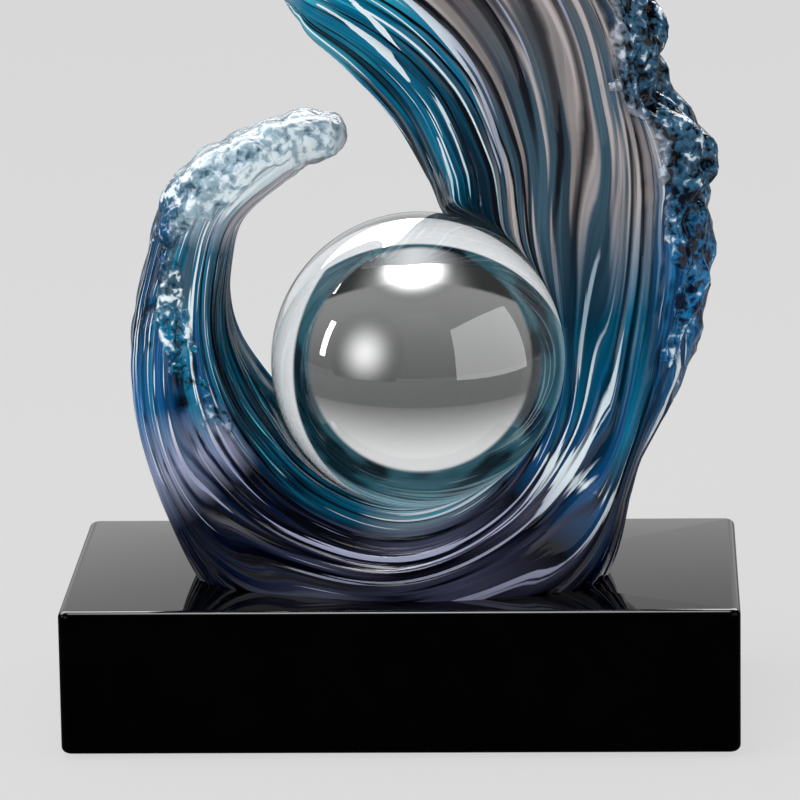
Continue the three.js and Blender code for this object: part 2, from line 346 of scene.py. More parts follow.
@dataclass(frozen=True)
class TintedResin(Finish):
    """Clear casting resin with pigments drawn out along the flow, and foam on its outer side; its grooves
    carry painted shade, its crests partly painted reflections, and its blades and strokes painted highlights.

    Fields that end in flow are scales of noise along the flow and across it, and pinched_share is what is
    left of them where the flow is pinched. Fields that end in span are the two ends of a smooth step.
    """

    name: str = "tinted_resin"
    ior: float = 1.29
    clearness: float = 0.1
    pinched_share: tuple[float, float] = (0.8, 0.85)
    drift_flow: tuple[float, float] = (9.0, 9.0)
    drift_span: Span = (0.48, 0.54)
    gloom_flow: tuple[float, float] = (8.0, -11.0)
    gloom_span: Span = (0.52, 0.58)
    gloom_depth: float = 0.45
    fine_flow: tuple[float, float] = (18.0, 36.0)
    fine_span: Span = (0.36, 0.6)
    # groove_span and the shade fields set how the grooves are painted dark, as painted shade.
    shade_least: float = 0.75
    shade_change: float = 0.3
    groove_span: Span = (0.1, 0.6)
    # The blade and stroke fields set painted highlights along the flow.
    blade_flow: tuple[float, float] = (11.0, 16.0)
    blade_density: float = 0.3
    blade_span: Span = (0.67, 0.7)
    blade_groove_span: Span = (0.05, 0.4)
    stroke_fray: float = 0.5
    stroke_span: Span = (0.3, 0.4)
    speck_scale: float = 420.0
    blot_scale: float = 150.0
    cover_scale: float = 120.0
    cover_fray: float = 1.2
    cover_span: Span = (0.4, 0.52)
    speck_share: float = 0.65
    blot_share: float = 0.35
    froth_density: float = 0.4
    # froth_crest paints raised foam lighter, and froth_white_span gives the palest froth, partly pale foam
    # and partly painted glints.
    froth_crest: float = 0.08
    thick_froth_span: Span = (0.4, 0.65)
    thick_froth_loss: float = 0.1
    froth_loss: float = 0.06
    froth_light_span: Span = (0.42, 0.57)
    froth_white_span: Span = (0.57, 0.68)
    relief: float = 0.0006
    fine_relief: float = 0.25
    roughness: float = 0.035
    froth_roughness: float = 0.03
    fine_roughness: float = 0.02

    def streaks(self, nodes: Nodes, flow_scale: tuple[float, float]) -> Signal:
        """Noise drawn out along the flow, and broader where the flow is pinched.

        Args:
            nodes: The tree.
            flow_scale: Its scales along the flow and across it.

        Returns:
            The noise, from 0 to 1.
        """
        flow = nodes.attribute("flow", "Vector")
        held_scale = tuple(scale * share for scale, share in zip(flow_scale, self.pinched_share))
        free, held = (
            nodes.grain(nodes.stretched(flow, (along, across, abs(across))), distortion=0.3)
            for along, across in (flow_scale, held_scale)
        )
        return nodes.blend(nodes.attribute("pinched"), free, held)

    def streaked(self, nodes: Nodes, tones: dict[str, Signal], fine: Signal) -> Signal:
        """Flowing resin: grooves darkened as painted shade and paler crests, partly pigment and partly
        painted reflection, with stains, and painted highlights as blades and strokes.

        Args:
            nodes: The tree.
            tones: The colours, pigment and painted light.
            fine: Fine noise along the flow.

        Returns:
            The colour.
        """
        crest = nodes.attribute("crest")
        density = nodes.attribute("vein", "Alpha")
        drift = nodes.step(self.streaks(nodes, self.drift_flow), *self.drift_span)
        gloom = nodes.step(self.streaks(nodes, self.gloom_flow), *self.gloom_span)
        # Painted shade: the colour goes to the dark tone in the grooves.
        shade = nodes.step(crest, *self.groove_span)
        shade = shade * (self.shade_least + nodes.step(fine, *self.fine_span) * self.shade_change)
        shade = shade * (1.0 - gloom * self.gloom_depth)
        body = nodes.tint(shade, tones["dark"], nodes.tint(drift, tones["light"], tones["stain"]))
        # Painted highlights: pale blades on the crests, and the listed strokes.
        blade = self.streaks(nodes, self.blade_flow) + density * self.blade_density
        blade = nodes.step(blade, *self.blade_span) * nodes.step(crest, *self.blade_groove_span)
        stroke = nodes.step(nodes.attribute("stroke") + fine * self.stroke_fray, *self.stroke_span)
        return nodes.tint(nodes.larger(blade, stroke), body, tones["vein"])

    def frothy(self, nodes: Nodes, tones: dict[str, Signal], speck: Signal, blot: Signal) -> Signal:
        """Foam: dark gaps, and bubbles that go from light to the palest colour, which is partly pale foam and
        partly painted glints.

        Args:
            nodes: The tree.
            tones: The colours, pigment and painted light.
            speck: Noise of the small bubbles.
            blot: Noise of the large ones.

        Returns:
            The colour.
        """
        froth = speck * self.speck_share + blot * self.blot_share
        froth = froth + nodes.attribute("vein", "Alpha") * self.froth_density
        # Raised lumps and bubbles are painted a little lighter, as a painted highlight.
        froth = froth + nodes.attribute("crest") * self.froth_crest
        thick = nodes.step(nodes.attribute("foam"), *self.thick_froth_span)
        froth = froth - thick * self.thick_froth_loss - self.froth_loss
        lit = nodes.tint(nodes.step(froth, *self.froth_light_span), tones["dark"], tones["light"])
        return nodes.tint(nodes.step(froth, *self.froth_white_span), lit, tones["vein"])

    def sockets(self, nodes: Nodes) -> Inputs:
        """Streaked resin under foam that sets in with a frayed edge, over a fine relief.

        Args:
            nodes: The tree.

        Returns:
            Values and links of the shader's sockets.
        """
        place = nodes.place()
        flow = nodes.attribute("flow", "Vector")
        along, across = self.fine_flow
        fine = nodes.grain(nodes.stretched(flow, (along, across, across)))
        speck = nodes.grain(place, self.speck_scale, distortion=0.5)
        blot = nodes.grain(place, self.blot_scale, distortion=0.5)
        fray = nodes.grain(place, self.cover_scale, detail=3.0, distortion=0.6) - 0.5
        covered = nodes.step(nodes.attribute("foam") + fray * self.cover_fray, *self.cover_span)
        height = fine * (1.0 - covered) * self.fine_relief + (speck + blot) * covered
        tones = {tone: nodes.attribute(tone, "Color") for tone in TONES}
        streaked = self.streaked(nodes, tones, fine)
        return {
            "Base Color": nodes.tint(covered, streaked, self.frothy(nodes, tones, speck, blot)),
            "Roughness": self.roughness + covered * self.froth_roughness + fine * self.fine_roughness,
            "Normal": nodes.bump(height, self.relief),
            "IOR": self.ior,
            "Transmission Weight": self.clearness,
        }


@dataclass(frozen=True)
class Crystal(Finish):
    """Clear polished crystal, with a gloss that is stronger than that of plain glass."""

    name: str = "clear_crystal"
    colour: Triple = (0.94, 0.945, 0.95)
    ior: float = 1.52
    polish_ior: float = 1.9
    trace_scale: float = 34.0
    trace_span: Span = (0.5, 0.8)
    trace_roughness: float = 0.006

    def sockets(self, nodes: Nodes) -> Inputs:
        """Clear all through, with the faintest trace of handling on its skin.

        Args:
            nodes: The tree.

        Returns:
            Values and links of the shader's sockets.
        """
        trace = nodes.step(nodes.grain(nodes.place(), self.trace_scale, detail=3.0), *self.trace_span)
        return {
            "Base Color": (*self.colour, 1.0),
            "Roughness": trace * self.trace_roughness,
            "IOR": self.ior,
            "Transmission Weight": 1.0,
            "Coat Weight": 1.0,
            "Coat IOR": self.polish_ior,
            "Coat Roughness": 0.0,
        }


@dataclass(frozen=True)
class TurnedMetal(Finish):
    """Turned metal with tool rings, threads or knurls along Z."""

    name: str = "turned_metal"
    colour: Triple = (0.56, 0.57, 0.58)
    shade: Triple = (0.4, 0.41, 0.42)
    pitch: float = 0.8
    relief: float = 0.0002
    cloud_scale: float = 320.0
    roughness: float = 0.26
    cloud_roughness: float = 0.18

    def sockets(self, nodes: Nodes) -> Inputs:
        """Rings of the pitch along Z over a cloudy plating.

        Args:
            nodes: The tree.

        Returns:
            Values and links of the shader's sockets.
        """
        place = nodes.place()
        cloud = nodes.grain(place, self.cloud_scale, detail=3.0)
        rings = nodes.add(
            "ShaderNodeTexWave",
            {"wave_type": "BANDS", "bands_direction": "Z", "wave_profile": "TRI"},
            {"Vector": place, "Scale": math.pi / (10.0 * self.pitch * MM)},
            "Fac",
        )
        return {
            "Base Color": nodes.tint(cloud, (*self.colour, 1.0), (*self.shade, 1.0)),
            "Roughness": self.roughness + cloud * self.cloud_roughness,
            "Metallic": 1.0,
            "Normal": nodes.bump(rings, self.relief),
        }


@dataclass(frozen=True)
class PressedFelt(Finish):
    """Dark pressed felt."""

    name: str = "pressed_felt"
    colour: Triple = (0.012, 0.012, 0.013)
    lint: Triple = (0.045, 0.045, 0.048)
    fibre_scale: Triple = (2600.0, 2600.0, 900.0)
    lint_span: Span = (0.35, 0.75)
    relief: float = 0.0003
    roughness: float = 0.86
    fibre_roughness: float = 0.12

    def sockets(self, nodes: Nodes) -> Inputs:
        """Matted fibres with pale lint.

        Args:
            nodes: The tree.

        Returns:
            Values and links of the shader's sockets.
        """
        stretched = nodes.stretched(nodes.place(), self.fibre_scale)
        fibres = nodes.grain(stretched, detail=4.0, distortion=1.5)
        lint = nodes.step(fibres, *self.lint_span)
        return {
            "Base Color": nodes.tint(lint, (*self.colour, 1.0), (*self.lint, 1.0)),
            "Roughness": self.roughness + fibres * self.fibre_roughness,
            "Normal": nodes.bump(fibres, self.relief),
        }


# Modelling tools


class Bench:
    """Modelling steps on one object at a time, as by hand."""

    @staticmethod
    def clear() -> None:
        """Leaves edit mode and deselects everything."""
        if bpy.context.object is not None and bpy.context.object.mode != "OBJECT":
            bpy.ops.object.mode_set(mode="OBJECT")
        bpy.ops.object.select_all(action="DESELECT")

    @staticmethod
    def take(piece: bpy.types.Object) -> None:
        """Makes a piece the only selected and active one.

        Args:
            piece: The piece.
        """
        Bench.clear()
        piece.select_set(True)
        bpy.context.view_layer.objects.active = piece

    @staticmethod
    def named(name: str) -> bpy.types.Object:
        """Names the piece that was just added, and its mesh.

        Args:
            name: The name.

        Returns:
            The piece.
        """
        piece = bpy.context.object
        piece.name = name
        piece.data.name = name
        return piece

    @staticmethod
    def settle(piece: bpy.types.Object) -> bpy.types.Object:
        """Puts a piece's place, turn and scale into its mesh.

        Args:
            piece: The piece.

        Returns:
            The same piece.
        """
        Bench.take(piece)
        bpy.ops.object.transform_apply(location=True, rotation=True, scale=True)
        return piece

    @staticmethod
    def block(name: str, size: Triple, centre: Triple) -> bpy.types.Object:
        """Adds a block.

        Args:
            name: Name of the piece.
            size: Its three sides.
            centre: Its middle.

        Returns:
            The block.
        """
        Bench.clear()
        bpy.ops.mesh.primitive_cube_add(size=1.0, location=[c * MM for c in centre])
        piece = Bench.named(name)
        piece.scale = [s * MM for s in size]
        return Bench.settle(piece)

    @staticmethod
    def rod(name: str, radius: float, bottom: Triple, length: float, sides: int = 64) -> bpy.types.Object:
        """Adds an upright rod.

        Args:
            name: Name of the piece.
            radius: Its radius.
            bottom: Middle of its lower end.
            length: Its length.
            sides: Number of sides.

        Returns:
            The rod.
        """
        Bench.clear()
        x, y, z = bottom
        bpy.ops.mesh.primitive_cylinder_add(
            vertices=sides,
            radius=radius * MM,
            depth=length * MM,
            location=(x * MM, y * MM, (z + length / 2) * MM),
        )
        return Bench.settle(Bench.named(name))

    @staticmethod
    def turned(name: str, profile: Sequence[tuple[float, float]], sides: int = 64) -> bpy.types.Object:
        """Draws a solid up from a disc by extruding and scaling its cap.

        Args:
            name: Name of the piece.
            profile: Radius and height of each step, from the bottom to the top.
            sides: Number of sides.

        Returns:
            The closed solid about the Z axis.
        """
        Bench.clear()
        radius, height = profile[0]
        bpy.ops.mesh.primitive_circle_add(
            vertices=sides, radius=radius * MM, fill_type="NGON", location=(0.0, 0.0, height * MM)
        )
        piece = Bench.settle(Bench.named(name))
        bpy.ops.object.mode_set(mode="EDIT")
        bpy.ops.mesh.select_all(action="SELECT")
        for next_radius, next_height in profile[1:]:
            rise = (next_height - height) * MM
            bpy.ops.mesh.extrude_region_move(TRANSFORM_OT_translate={"value": (0.0, 0.0, rise)})
            ratio = next_radius / radius
            bpy.ops.transform.resize(value=(ratio, ratio, 1.0))
            radius, height = next_radius, next_height
        bpy.ops.mesh.select_all(action="SELECT")
        bpy.ops.mesh.normals_make_consistent(inside=False)
        bpy.ops.object.mode_set(mode="OBJECT")
        return piece

    @staticmethod
    def bevel(
        piece: bpy.types.Object, wanted: Callable[[Vector, Vector], bool], radius: float, segments: int
    ) -> None:
        """Rounds the edges whose two ends pass a test.

        Args:
            piece: The piece.
            wanted: Test of the two ends, in millimetres.
            radius: Radius of the rounding.
            segments: Facets of the rounding.
        """
        Bench.take(piece)
        bpy.ops.object.mode_set(mode="EDIT")
        bpy.ops.mesh.select_mode(type="EDGE")
        bpy.ops.mesh.select_all(action="DESELECT")
        made = bmesh.from_edit_mesh(piece.data)
        for edge in made.edges:
            first, second = (vertex.co / MM for vertex in edge.verts)
            edge.select_set(wanted(first, second))
        bmesh.update_edit_mesh(piece.data)
        bpy.ops.mesh.bevel(offset=radius * MM, segments=segments, profile=0.5, affect="EDGES")
        bpy.ops.object.mode_set(mode="OBJECT")

    @staticmethod
    def cut(piece: bpy.types.Object, tools: Sequence[bpy.types.Object]) -> None:
        """Cuts tools out of a piece and throws the tools away.

        Args:
            piece: The piece.
            tools: Solids to cut away.
        """
        for tool in tools:
            Bench.take(piece)
            modifier = piece.modifiers.new("cut", "BOOLEAN")
            modifier.operation = "DIFFERENCE"
            modifier.solver = "MANIFOLD"
            modifier.object = tool
            bpy.ops.object.modifier_apply(modifier=modifier.name)
            bpy.data.objects.remove(tool)

    @staticmethod
    def polish(piece: bpy.types.Object, degrees: float) -> None:
        """Shades a piece smooth, apart from edges sharper than an angle."""
        Bench.take(piece)
        bpy.ops.object.shade_smooth_by_angle(angle=math.radians(degrees))

    @staticmethod
    def dress(piece: bpy.types.Object, finish: bpy.types.Material, body: str, node: str, slot: str) -> None:
        """Gives a piece its finish and its place in the part.

        Args:
            piece: The piece.
            finish: Its material.
            body: The body that it rides on.
            node: The node that it stands for.
            slot: Not used.
        """
        piece.data.materials.clear()
        piece.data.materials.append(finish)
        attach(piece, body)
        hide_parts(node)
        LOG.info("%s: %d faces, rides on %s", piece.name, len(piece.data.polygons), body)


# Sculpture


@dataclass(frozen=True)
class Station:
    """One section across the stream.

    turn is in degrees round the ball, rise from the ball's surface to the middle of the section, inner and
    outer are half-widths towards the ball and away from it, depth is the half-depth, back the set-back, lean
    the turn of the section about the stream, and foam the share of foam.
    """

    turn: float
    rise: float
    inner: float
    outer: float
    depth: float
    back: float
    lean: float
    foam: float


@dataclass(frozen=True)
class Tint:
    """Colours of one side of the stream: painted shade in the grooves, pigment that is partly painted
    reflection on the crests, stains, and painted highlights, which on foam are also pale foam.

    density is that of the painted highlights, from 0 to 1.
    """

    dark: Hue
    light: Hue
    stain: Hue
    vein: Hue
    density: float


@dataclass(frozen=True)
class Pigment:
    """Colours at a station, pigment with painted shade, painted reflections and painted highlights: on the
    inner side, the face and the outer side of the stream.

    lip is the cosine of the section angle at which the inner side starts.
    """

    station: float
    inner: Tint
    face: Tint
    outer: Tint
    lip: float = 0.58


@dataclass(frozen=True)
class Stroke:
    """A long painted highlight along the flow.

    first and last are its two ends as stations, start and end the flow lines there, and width is half its
    width, in radians.
    """

    first: float
    last: float
    start: float
    end: float
    width: float


@dataclass(frozen=True)
class Ripple:
    """A wave across the flow lines.

    size is its height, turns its rate round the section, drift its shift from station to station, and bend
    how far it is drawn to and fro on its way round, at a rate of bend_turns.
    """

    size: float
    turns: float
    drift: float
    bend: float = 0.0
    bend_turns: float = 3.0

    def at(self, line: np.ndarray, station: np.ndarray) -> np.ndarray:
        """Height at flow lines, or at ribs by their number, and stations."""
        bent = self.bend * np.sin(self.bend_turns * line)
        return self.size * np.sin(self.turns * line + self.drift * station + bent)


@dataclass(frozen=True)
class Swell:
    """How far the breaker's outer rim stands out at a station; below 0 it stands back."""

    station: float
    height: float


# The stream, from the tip of the small curl round under the ball to the tip of the breaker
STREAM = (
    Station(108, 24, 5, 5, 7, 0, 0, 1),
    Station(116.5, 28.7, 7, 6.5, 9, 0, 0, 1),
    Station(127.6, 30.1, 8.5, 8.5, 13, 0, 0, 1),
    Station(142.3, 31, 9, 12, 16, 0, 0, 1),
    Station(155.8, 28, 10.4, 12, 18, 0, 0, 0.9),
    Station(169.7, 24.5, 11.5, 14.3, 21, 0, 2, 0.6),
    Station(186, 22.3, 16.6, 15.5, 24, 0, 6, 0.25),
    Station(206.1, 20.1, 22, 17.6, 28, 2, 12, 0),
    Station(233.4, 15.4, 22, 29, 35, 1, 16, 0),
    Station(266.7, 12.6, 22, 20, 40, 0, 18, 0),
    Station(301.2, 12, 24, 23, 37, 3, 12, 0),
    Station(336.4, 11.3, 24, 14, 29, 10, 2, 0.1),
    Station(369.5, 11.7, 27, 24.5, 27, 17, -6, 0.6),
    Station(399.7, 17.2, 36, 32.5, 26, 17, 6, 1),
    Station(420.4, 33, 37.8, 31, 25, 14, 18, 1),
    Station(435.6, 52.4, 39.2, 37, 24, 10, 25, 1),
    Station(448.5, 71.5, 39.5, 36, 21, 6, 27, 1),
    Station(460.4, 87.6, 34.3, 29, 16, 3, 22, 1),
    Station(471.7, 95.1, 18, 18, 10, 0, 12, 1),
    Station(482, 94, 4, 4, 3, 0, 0, 1),
)

# The hues by their short names, in the order of the class
(
    INK,
    NAVY,
    DEEP_TEAL,
    TEAL,
    CYAN,
    BLUE,
    SEA,
    STEEL,
    SLATE,
    TAUPE,
    UMBER,
    DUSK,
    HAZE,
    VIOLET,
    LAVENDER,
    PEARL,
    MIST,
    FOAM,
) = Hue

# Colours along the stream, pigment with painted shade in the grooves, painted reflections on the crests and
# painted highlights; those of one row go over into those of the next
PIGMENTS = (
    Pigment(
        0,
        Tint(SLATE, MIST, FOAM, FOAM, 0.55),
        Tint(SLATE, MIST, FOAM, FOAM, 0.6),
        Tint(SLATE, MIST, FOAM, FOAM, 0.6),
    ),
    Pigment(
        1.7,
        Tint(TAUPE, PEARL, LAVENDER, FOAM, 0.35),
        Tint(SLATE, MIST, FOAM, FOAM, 0.58),
        Tint(SLATE, MIST, FOAM, FOAM, 0.56),
    ),
    Pigment(
        2.6,
        Tint(TAUPE, PEARL, LAVENDER, FOAM, 0.3),
        Tint(SLATE, MIST, FOAM, FOAM, 0.54),
        Tint(SLATE, MIST, FOAM, FOAM, 0.5),
    ),
    Pigment(
        3.1,
        Tint(SLATE, PEARL, LAVENDER, FOAM, 0.25),
        Tint(SLATE, MIST, LAVENDER, FOAM, 0.32),
        Tint(DEEP_TEAL, STEEL, MIST, FOAM, 0.4),
    ),
    Pigment(
        3.6,
        Tint(DEEP_TEAL, SLATE, TEAL, FOAM, 0.2),
        Tint(DEEP_TEAL, SLATE, TEAL, FOAM, 0.2),
        Tint(DEEP_TEAL, BLUE, DEEP_TEAL, FOAM, 0.18),
    ),
    Pigment(
        4.3,
        Tint(INK, SLATE, DEEP_TEAL, CYAN, 0.1),
        Tint(DEEP_TEAL, SLATE, TEAL, FOAM, 0.28),
        Tint(NAVY, BLUE, DEEP_TEAL, FOAM, 0.12),
    ),
    Pigment(
        4.9,
        Tint(INK, DEEP_TEAL, TEAL, CYAN, 0.1),
        Tint(DEEP_TEAL, TEAL, BLUE, FOAM, 0.26),
        Tint(INK, BLUE, DEEP_TEAL, FOAM, 0.14),
    ),
    Pigment(
        6,
        Tint(INK, DEEP_TEAL, TEAL, CYAN, 0.15),
        Tint(INK, TEAL, BLUE, FOAM, 0.18),
        Tint(INK, BLUE, SEA, LAVENDER, 0.25),
    ),
    Pigment(
        6.7,
        Tint(INK, DEEP_TEAL, TEAL, CYAN, 0.15),
        Tint(NAVY, HAZE, LAVENDER, LAVENDER, 0.35),
        Tint(SLATE, HAZE, LAVENDER, FOAM, 0.38),
    ),
    Pigment(
        7.15,
        Tint(INK, DEEP_TEAL, TEAL, CYAN, 0.2),
        Tint(INK, NAVY, INK, HAZE, 0.15),
        Tint(INK, NAVY, INK, HAZE, 0.2),
        0.66,
    ),
    Pigment(
        7.7,
        Tint(INK, DEEP_TEAL, TEAL, FOAM, 0.2),
        Tint(INK, INK, NAVY, LAVENDER, 0.2),
        Tint(INK, INK, INK, LAVENDER, 0.1),
        0.75,
    ),
    Pigment(
        8.4,
        Tint(INK, TEAL, DEEP_TEAL, FOAM, 0.35),
        Tint(INK, INK, VIOLET, LAVENDER, 0.2),
        Tint(INK, INK, INK, LAVENDER, 0.2),
        0.88,
    ),
    Pigment(
        8.9,
        Tint(DEEP_TEAL, MIST, CYAN, FOAM, 0.6),
        Tint(INK, VIOLET, INK, LAVENDER, 0.22),
        Tint(INK, INK, INK, LAVENDER, 0.22),
        0.92,
    ),
    Pigment(
        9.4,
        Tint(DEEP_TEAL, MIST, CYAN, FOAM, 0.65),
        Tint(INK, VIOLET, INK, LAVENDER, 0.28),
        Tint(INK, INK, INK, LAVENDER, 0.22),
        0.93,
    ),
    Pigment(
        10.2,
        Tint(DEEP_TEAL, TEAL, MIST, FOAM, 0.55),
        Tint(INK, INK, VIOLET, LAVENDER, 0.16),
        Tint(INK, INK, NAVY, LAVENDER, 0.12),
        0.88,
    ),
    Pigment(
        10.7,
        Tint(INK, TEAL, CYAN, FOAM, 0.5),
        Tint(NAVY, BLUE, INK, FOAM, 0.62),
        Tint(INK, NAVY, NAVY, LAVENDER, 0.15),
        0.8,
    ),
    Pigment(
        11.2,
        Tint(NAVY, TEAL, CYAN, FOAM, 0.3),
        Tint(DEEP_TEAL, BLUE, TEAL, FOAM, 0.2),
        Tint(DEEP_TEAL, BLUE, NAVY, FOAM, 0.18),
        0.7,
    ),
    Pigment(
        12.2,
        Tint(DEEP_TEAL, TEAL, CYAN, CYAN, 0.2),
        Tint(DEEP_TEAL, TEAL, DEEP_TEAL, MIST, 0.07),
        Tint(NAVY, SEA, BLUE, FOAM, 0.22),
    ),
    Pigment(
        13.2,
        Tint(INK, DEEP_TEAL, DEEP_TEAL, CYAN, 0.05),
        Tint(DUSK, TAUPE, SLATE, LAVENDER, 0.05),
        Tint(INK, STEEL, BLUE, FOAM, 0.25),
    ),
    Pigment(
        14.3,
        Tint(INK, DEEP_TEAL, TEAL, FOAM, 0.1),
        Tint(DUSK, TAUPE, SLATE, LAVENDER, 0.1),
        Tint(INK, STEEL, BLUE, FOAM, 0.26),
        0.54,
    ),
    Pigment(
        15.5,
        Tint(INK, TEAL, TEAL, FOAM, 0.2),
        Tint(DUSK, TAUPE, UMBER, LAVENDER, 0.1),
        Tint(INK, STEEL, BLUE, FOAM, 0.27),
        0.44,
    ),
    Pigment(
        17,
        Tint(INK, TEAL, CYAN, FOAM, 0.25),
        Tint(INK, TAUPE, UMBER, LAVENDER, 0.25),
        Tint(INK, STEEL, SEA, FOAM, 0.33),
        0.44,
    ),
    Pigment(
        19,
        Tint(SLATE, FOAM, FOAM, FOAM, 0.4),
        Tint(SLATE, FOAM, FOAM, FOAM, 0.4),
        Tint(SLATE, FOAM, FOAM, FOAM, 0.4),
    ),
)

# Painted highlights: pale strokes on the face of the breaker
STROKES = (
    Stroke(15.2, 16.8, 5.86, 5.66, 0.05),
    Stroke(15.5, 16.5, 5.64, 5.44, 0.026),
    Stroke(13.4, 16.6, 5.32, 5.2, 0.022),
    Stroke(13.5, 14.5, 5.97, 5.93, 0.016),
    Stroke(14.4, 15.1, 5.78, 5.74, 0.016),
)

# Lumps and gaps of the breaker's outer rim
RIM_SWELLS = (
    Swell(10.3, 0.0),
    Swell(10.7, -2.5),
    Swell(11.0, -2.0),
    Swell(11.4, 0.0),
    Swell(11.7, 0.0),
    Swell(11.97, -2.4),
    Swell(12.2, 0.0),
    Swell(12.4, -0.5),
    Swell(12.7, -2.8),
    Swell(12.95, -0.8),
    Swell(13.1, 1.8),
    Swell(13.55, 2.6),
    Swell(13.7, 0.0),
    Swell(13.9, -3.6),
    Swell(14.1, -2.0),
    Swell(14.4, 0.0),
)


def smooth_step(low: float, high: float, value: np.ndarray) -> np.ndarray:
    """Smooth step of an array from low to high."""
    share = np.clip((value - low) / (high - low), 0.0, 1.0)
    return share * share * (3.0 - 2.0 * share)


def up_and_down(up: Span, down: Span, value: np.ndarray) -> np.ndarray:
    """Share that goes up over one span and down again over another."""
    return smooth_step(*up, value) * (1.0 - smooth_step(*down, value))


def at_least(least: float, share: np.ndarray) -> np.ndarray:
    """Share that starts at a least value instead of 0."""
    return least + (1.0 - least) * share


@dataclass
class Wave:
    """The resin casting: a ribbed stream that goes once round the ball, with foam on its outer side.

    A field that ends in span is the two ends of a smooth step, and one that ends in stations is such a span
    along the stream. A place in a section is given by the cosine of its angle: 1 towards the ball, 0 on the
    face and the back, and -1 on the outer side.
    """

    ball_radius: float = BALL_RADIUS
    ball_centre: Triple = BALL_CENTRE
    stream_centre: Triple = (6.0, 0.0, 96.5)
    plinth_top: float = PLINTH_TOP
    squareness: float = 2.8
    tip_rounding: float = 0.5
    tip_least: float = 0.12
    station_pitch: float = 29.0
    pinch_station: float = 9.2
    pinch_reach: float = 2.0
    pinch: float = 0.55
    pinched_span: Span = (0.5, 0.85)
    line_wander: tuple[Ripple, ...] = (Ripple(0.09, 2, 0.45), Ripple(0.05, 5, -0.8))
    rib_count: int = 18
    rib_height: float = 1.5
    rib_base: float = 0.5
    rib_mean: float = 0.55
    rib_change: Ripple = Ripple(0.45, 2.4, 0.9)
    # The rib and strand shade fields paint the grooves darker, as painted shade.
    rib_shade_least: float = 0.3
    rib_shade_span: Span = (0.0, 0.4)
    strand_count: int = 52
    strand_height: float = 0.9
    strand_base: float = 0.6
    strand_wander: tuple[Ripple, ...] = (Ripple(1.6, 4, 0.5), Ripple(0.9, 9, -0.7))
    strand_patches: tuple[Ripple, ...] = (Ripple(1.0, 7, 0.6, 2.0), Ripple(0.7, 17, -0.8))
    strand_patch_span: Span = (-0.8, 0.9)
    strand_open_span: Span = (0.2, 0.9)
    strand_stations: Span = (1.5, 7.5)
    strand_least: float = 0.3
    strand_shade_span: Span = (0.25, 0.75)
    strand_tone_mean: float = 0.5
    strand_tone: Ripple = Ripple(0.5, 12.9, 0.37)
    strand_tone_least: float = 0.6
    foam_height: float = 3.4
    foam_lump: float = 17.0
    foam_span: Span = (0.25, 0.85)
    foam_tip_stations: Span = (0.6, 2.2)
    lump_bends: tuple[float, float] = (0.8, 0.9)
    lump_rates: tuple[float, float] = (1.3, 0.7)
    lump_mean: float = 0.9
    full_relief_width: float = 16.0
    curl_foam_reach: float = 0.45
    curl_foam_stations: Span = (3.5, 7.0)
    curl_calm: float = 0.5
    curl_calm_stations: Span = (6.0, 9.0)
    flank_calm: float = 0.75
    flank_bare: float = 0.8
    flank_first_stations: Span = (2.8, 4.2)
    flank_last_stations: Span = (8.0, 11.0)
    bubble_height: float = 1.2
    bubble_size: float = 10.0
    bubble_gain: float = 2.4
    bubble_mean: float = 0.7
    small_bubble_share: float = 0.5
    small_bubble_scale: float = 2.1
    bubble_foam_share: float = 0.4
    bubble_least_share: float = 0.02
    froth_lumps: float = 0.5
    froth_bubbles: float = 0.9
    froth_span: Span = (-0.7, 0.9)
    spray_share: float = 0.75
    spray_over_strokes: float = 0.5
    curl_spray_reach: float = 0.25
    curl_spray_span: Span = (0.1, 0.8)
    curl_spray_stations: Span = (5.5, 8.0)
    shoulder_spray_reach: float = 0.5
    shoulder_spray_stations: Span = (2.6, 3.8)
    breaker_spray_span: Span = (0.2, 0.7)
    breaker_spray_stations: Span = (12.0, 13.5)
    band_share: float = 0.52
    band_start: float = -0.45
    band_slant: float = 0.28
    band_station: float = 3.5
    band_span: Span = (0.1, 0.46)
    band_first_stations: Span = (2.8, 3.4)
    band_last_stations: Span = (6.2, 7.0)
    rim_mean: float = 0.1
    rim_waves: tuple[Triple, ...] = ((0.1, 3.1, 1.0), (0.06, 7.7, 0.0))
    rim_draw_back: float = 0.2
    rim_draw_back_stations: Span = (14.3, 15.0)
    rim_stations: Span = (12.0, 14.0)
    rim_swell_span: Span = (0.2, 0.8)
    lip_span: Span = (-0.08, 0.08)
    outer_span: Span = (0.3, 0.62)
    # ridge is a painted highlight line along the edge of the breaker's inner side.
    ridge: float = 0.5
    ridge_width: float = 0.04
    ridge_stations: Span = (12.5, 14.5)
    seat_gap: float = 0.3
    seat_blend: float = 0.8
    lift_way: Triple = (-0.2345697, -0.8754261, 0.4226183)
    pocket_radius: float = 4.3
    pocket_height: float = 12.3
    pocket_spacing: float = FIXING_SPACING
    cut_margin: float = 1.0
    smooth_angle: float = 75.0
    rings: int = 270
    round_points: int = 360
    curves: dict[str, np.ndarray] = field(init=False)

    def __post_init__(self) -> None:
        """Keeps each size of the stations as a row, with one more at both ends."""
        self.curves = {}
        for item in fields(Station):
            row = np.array([getattr(station, item.name) for station in STREAM], float)
            self.curves[item.name] = np.concatenate([[2 * row[0] - row[1]], row, [2 * row[-1] - row[-2]]])

    @property
    def last(self) -> int:
        """Number of the last station."""
        return len(STREAM) - 1

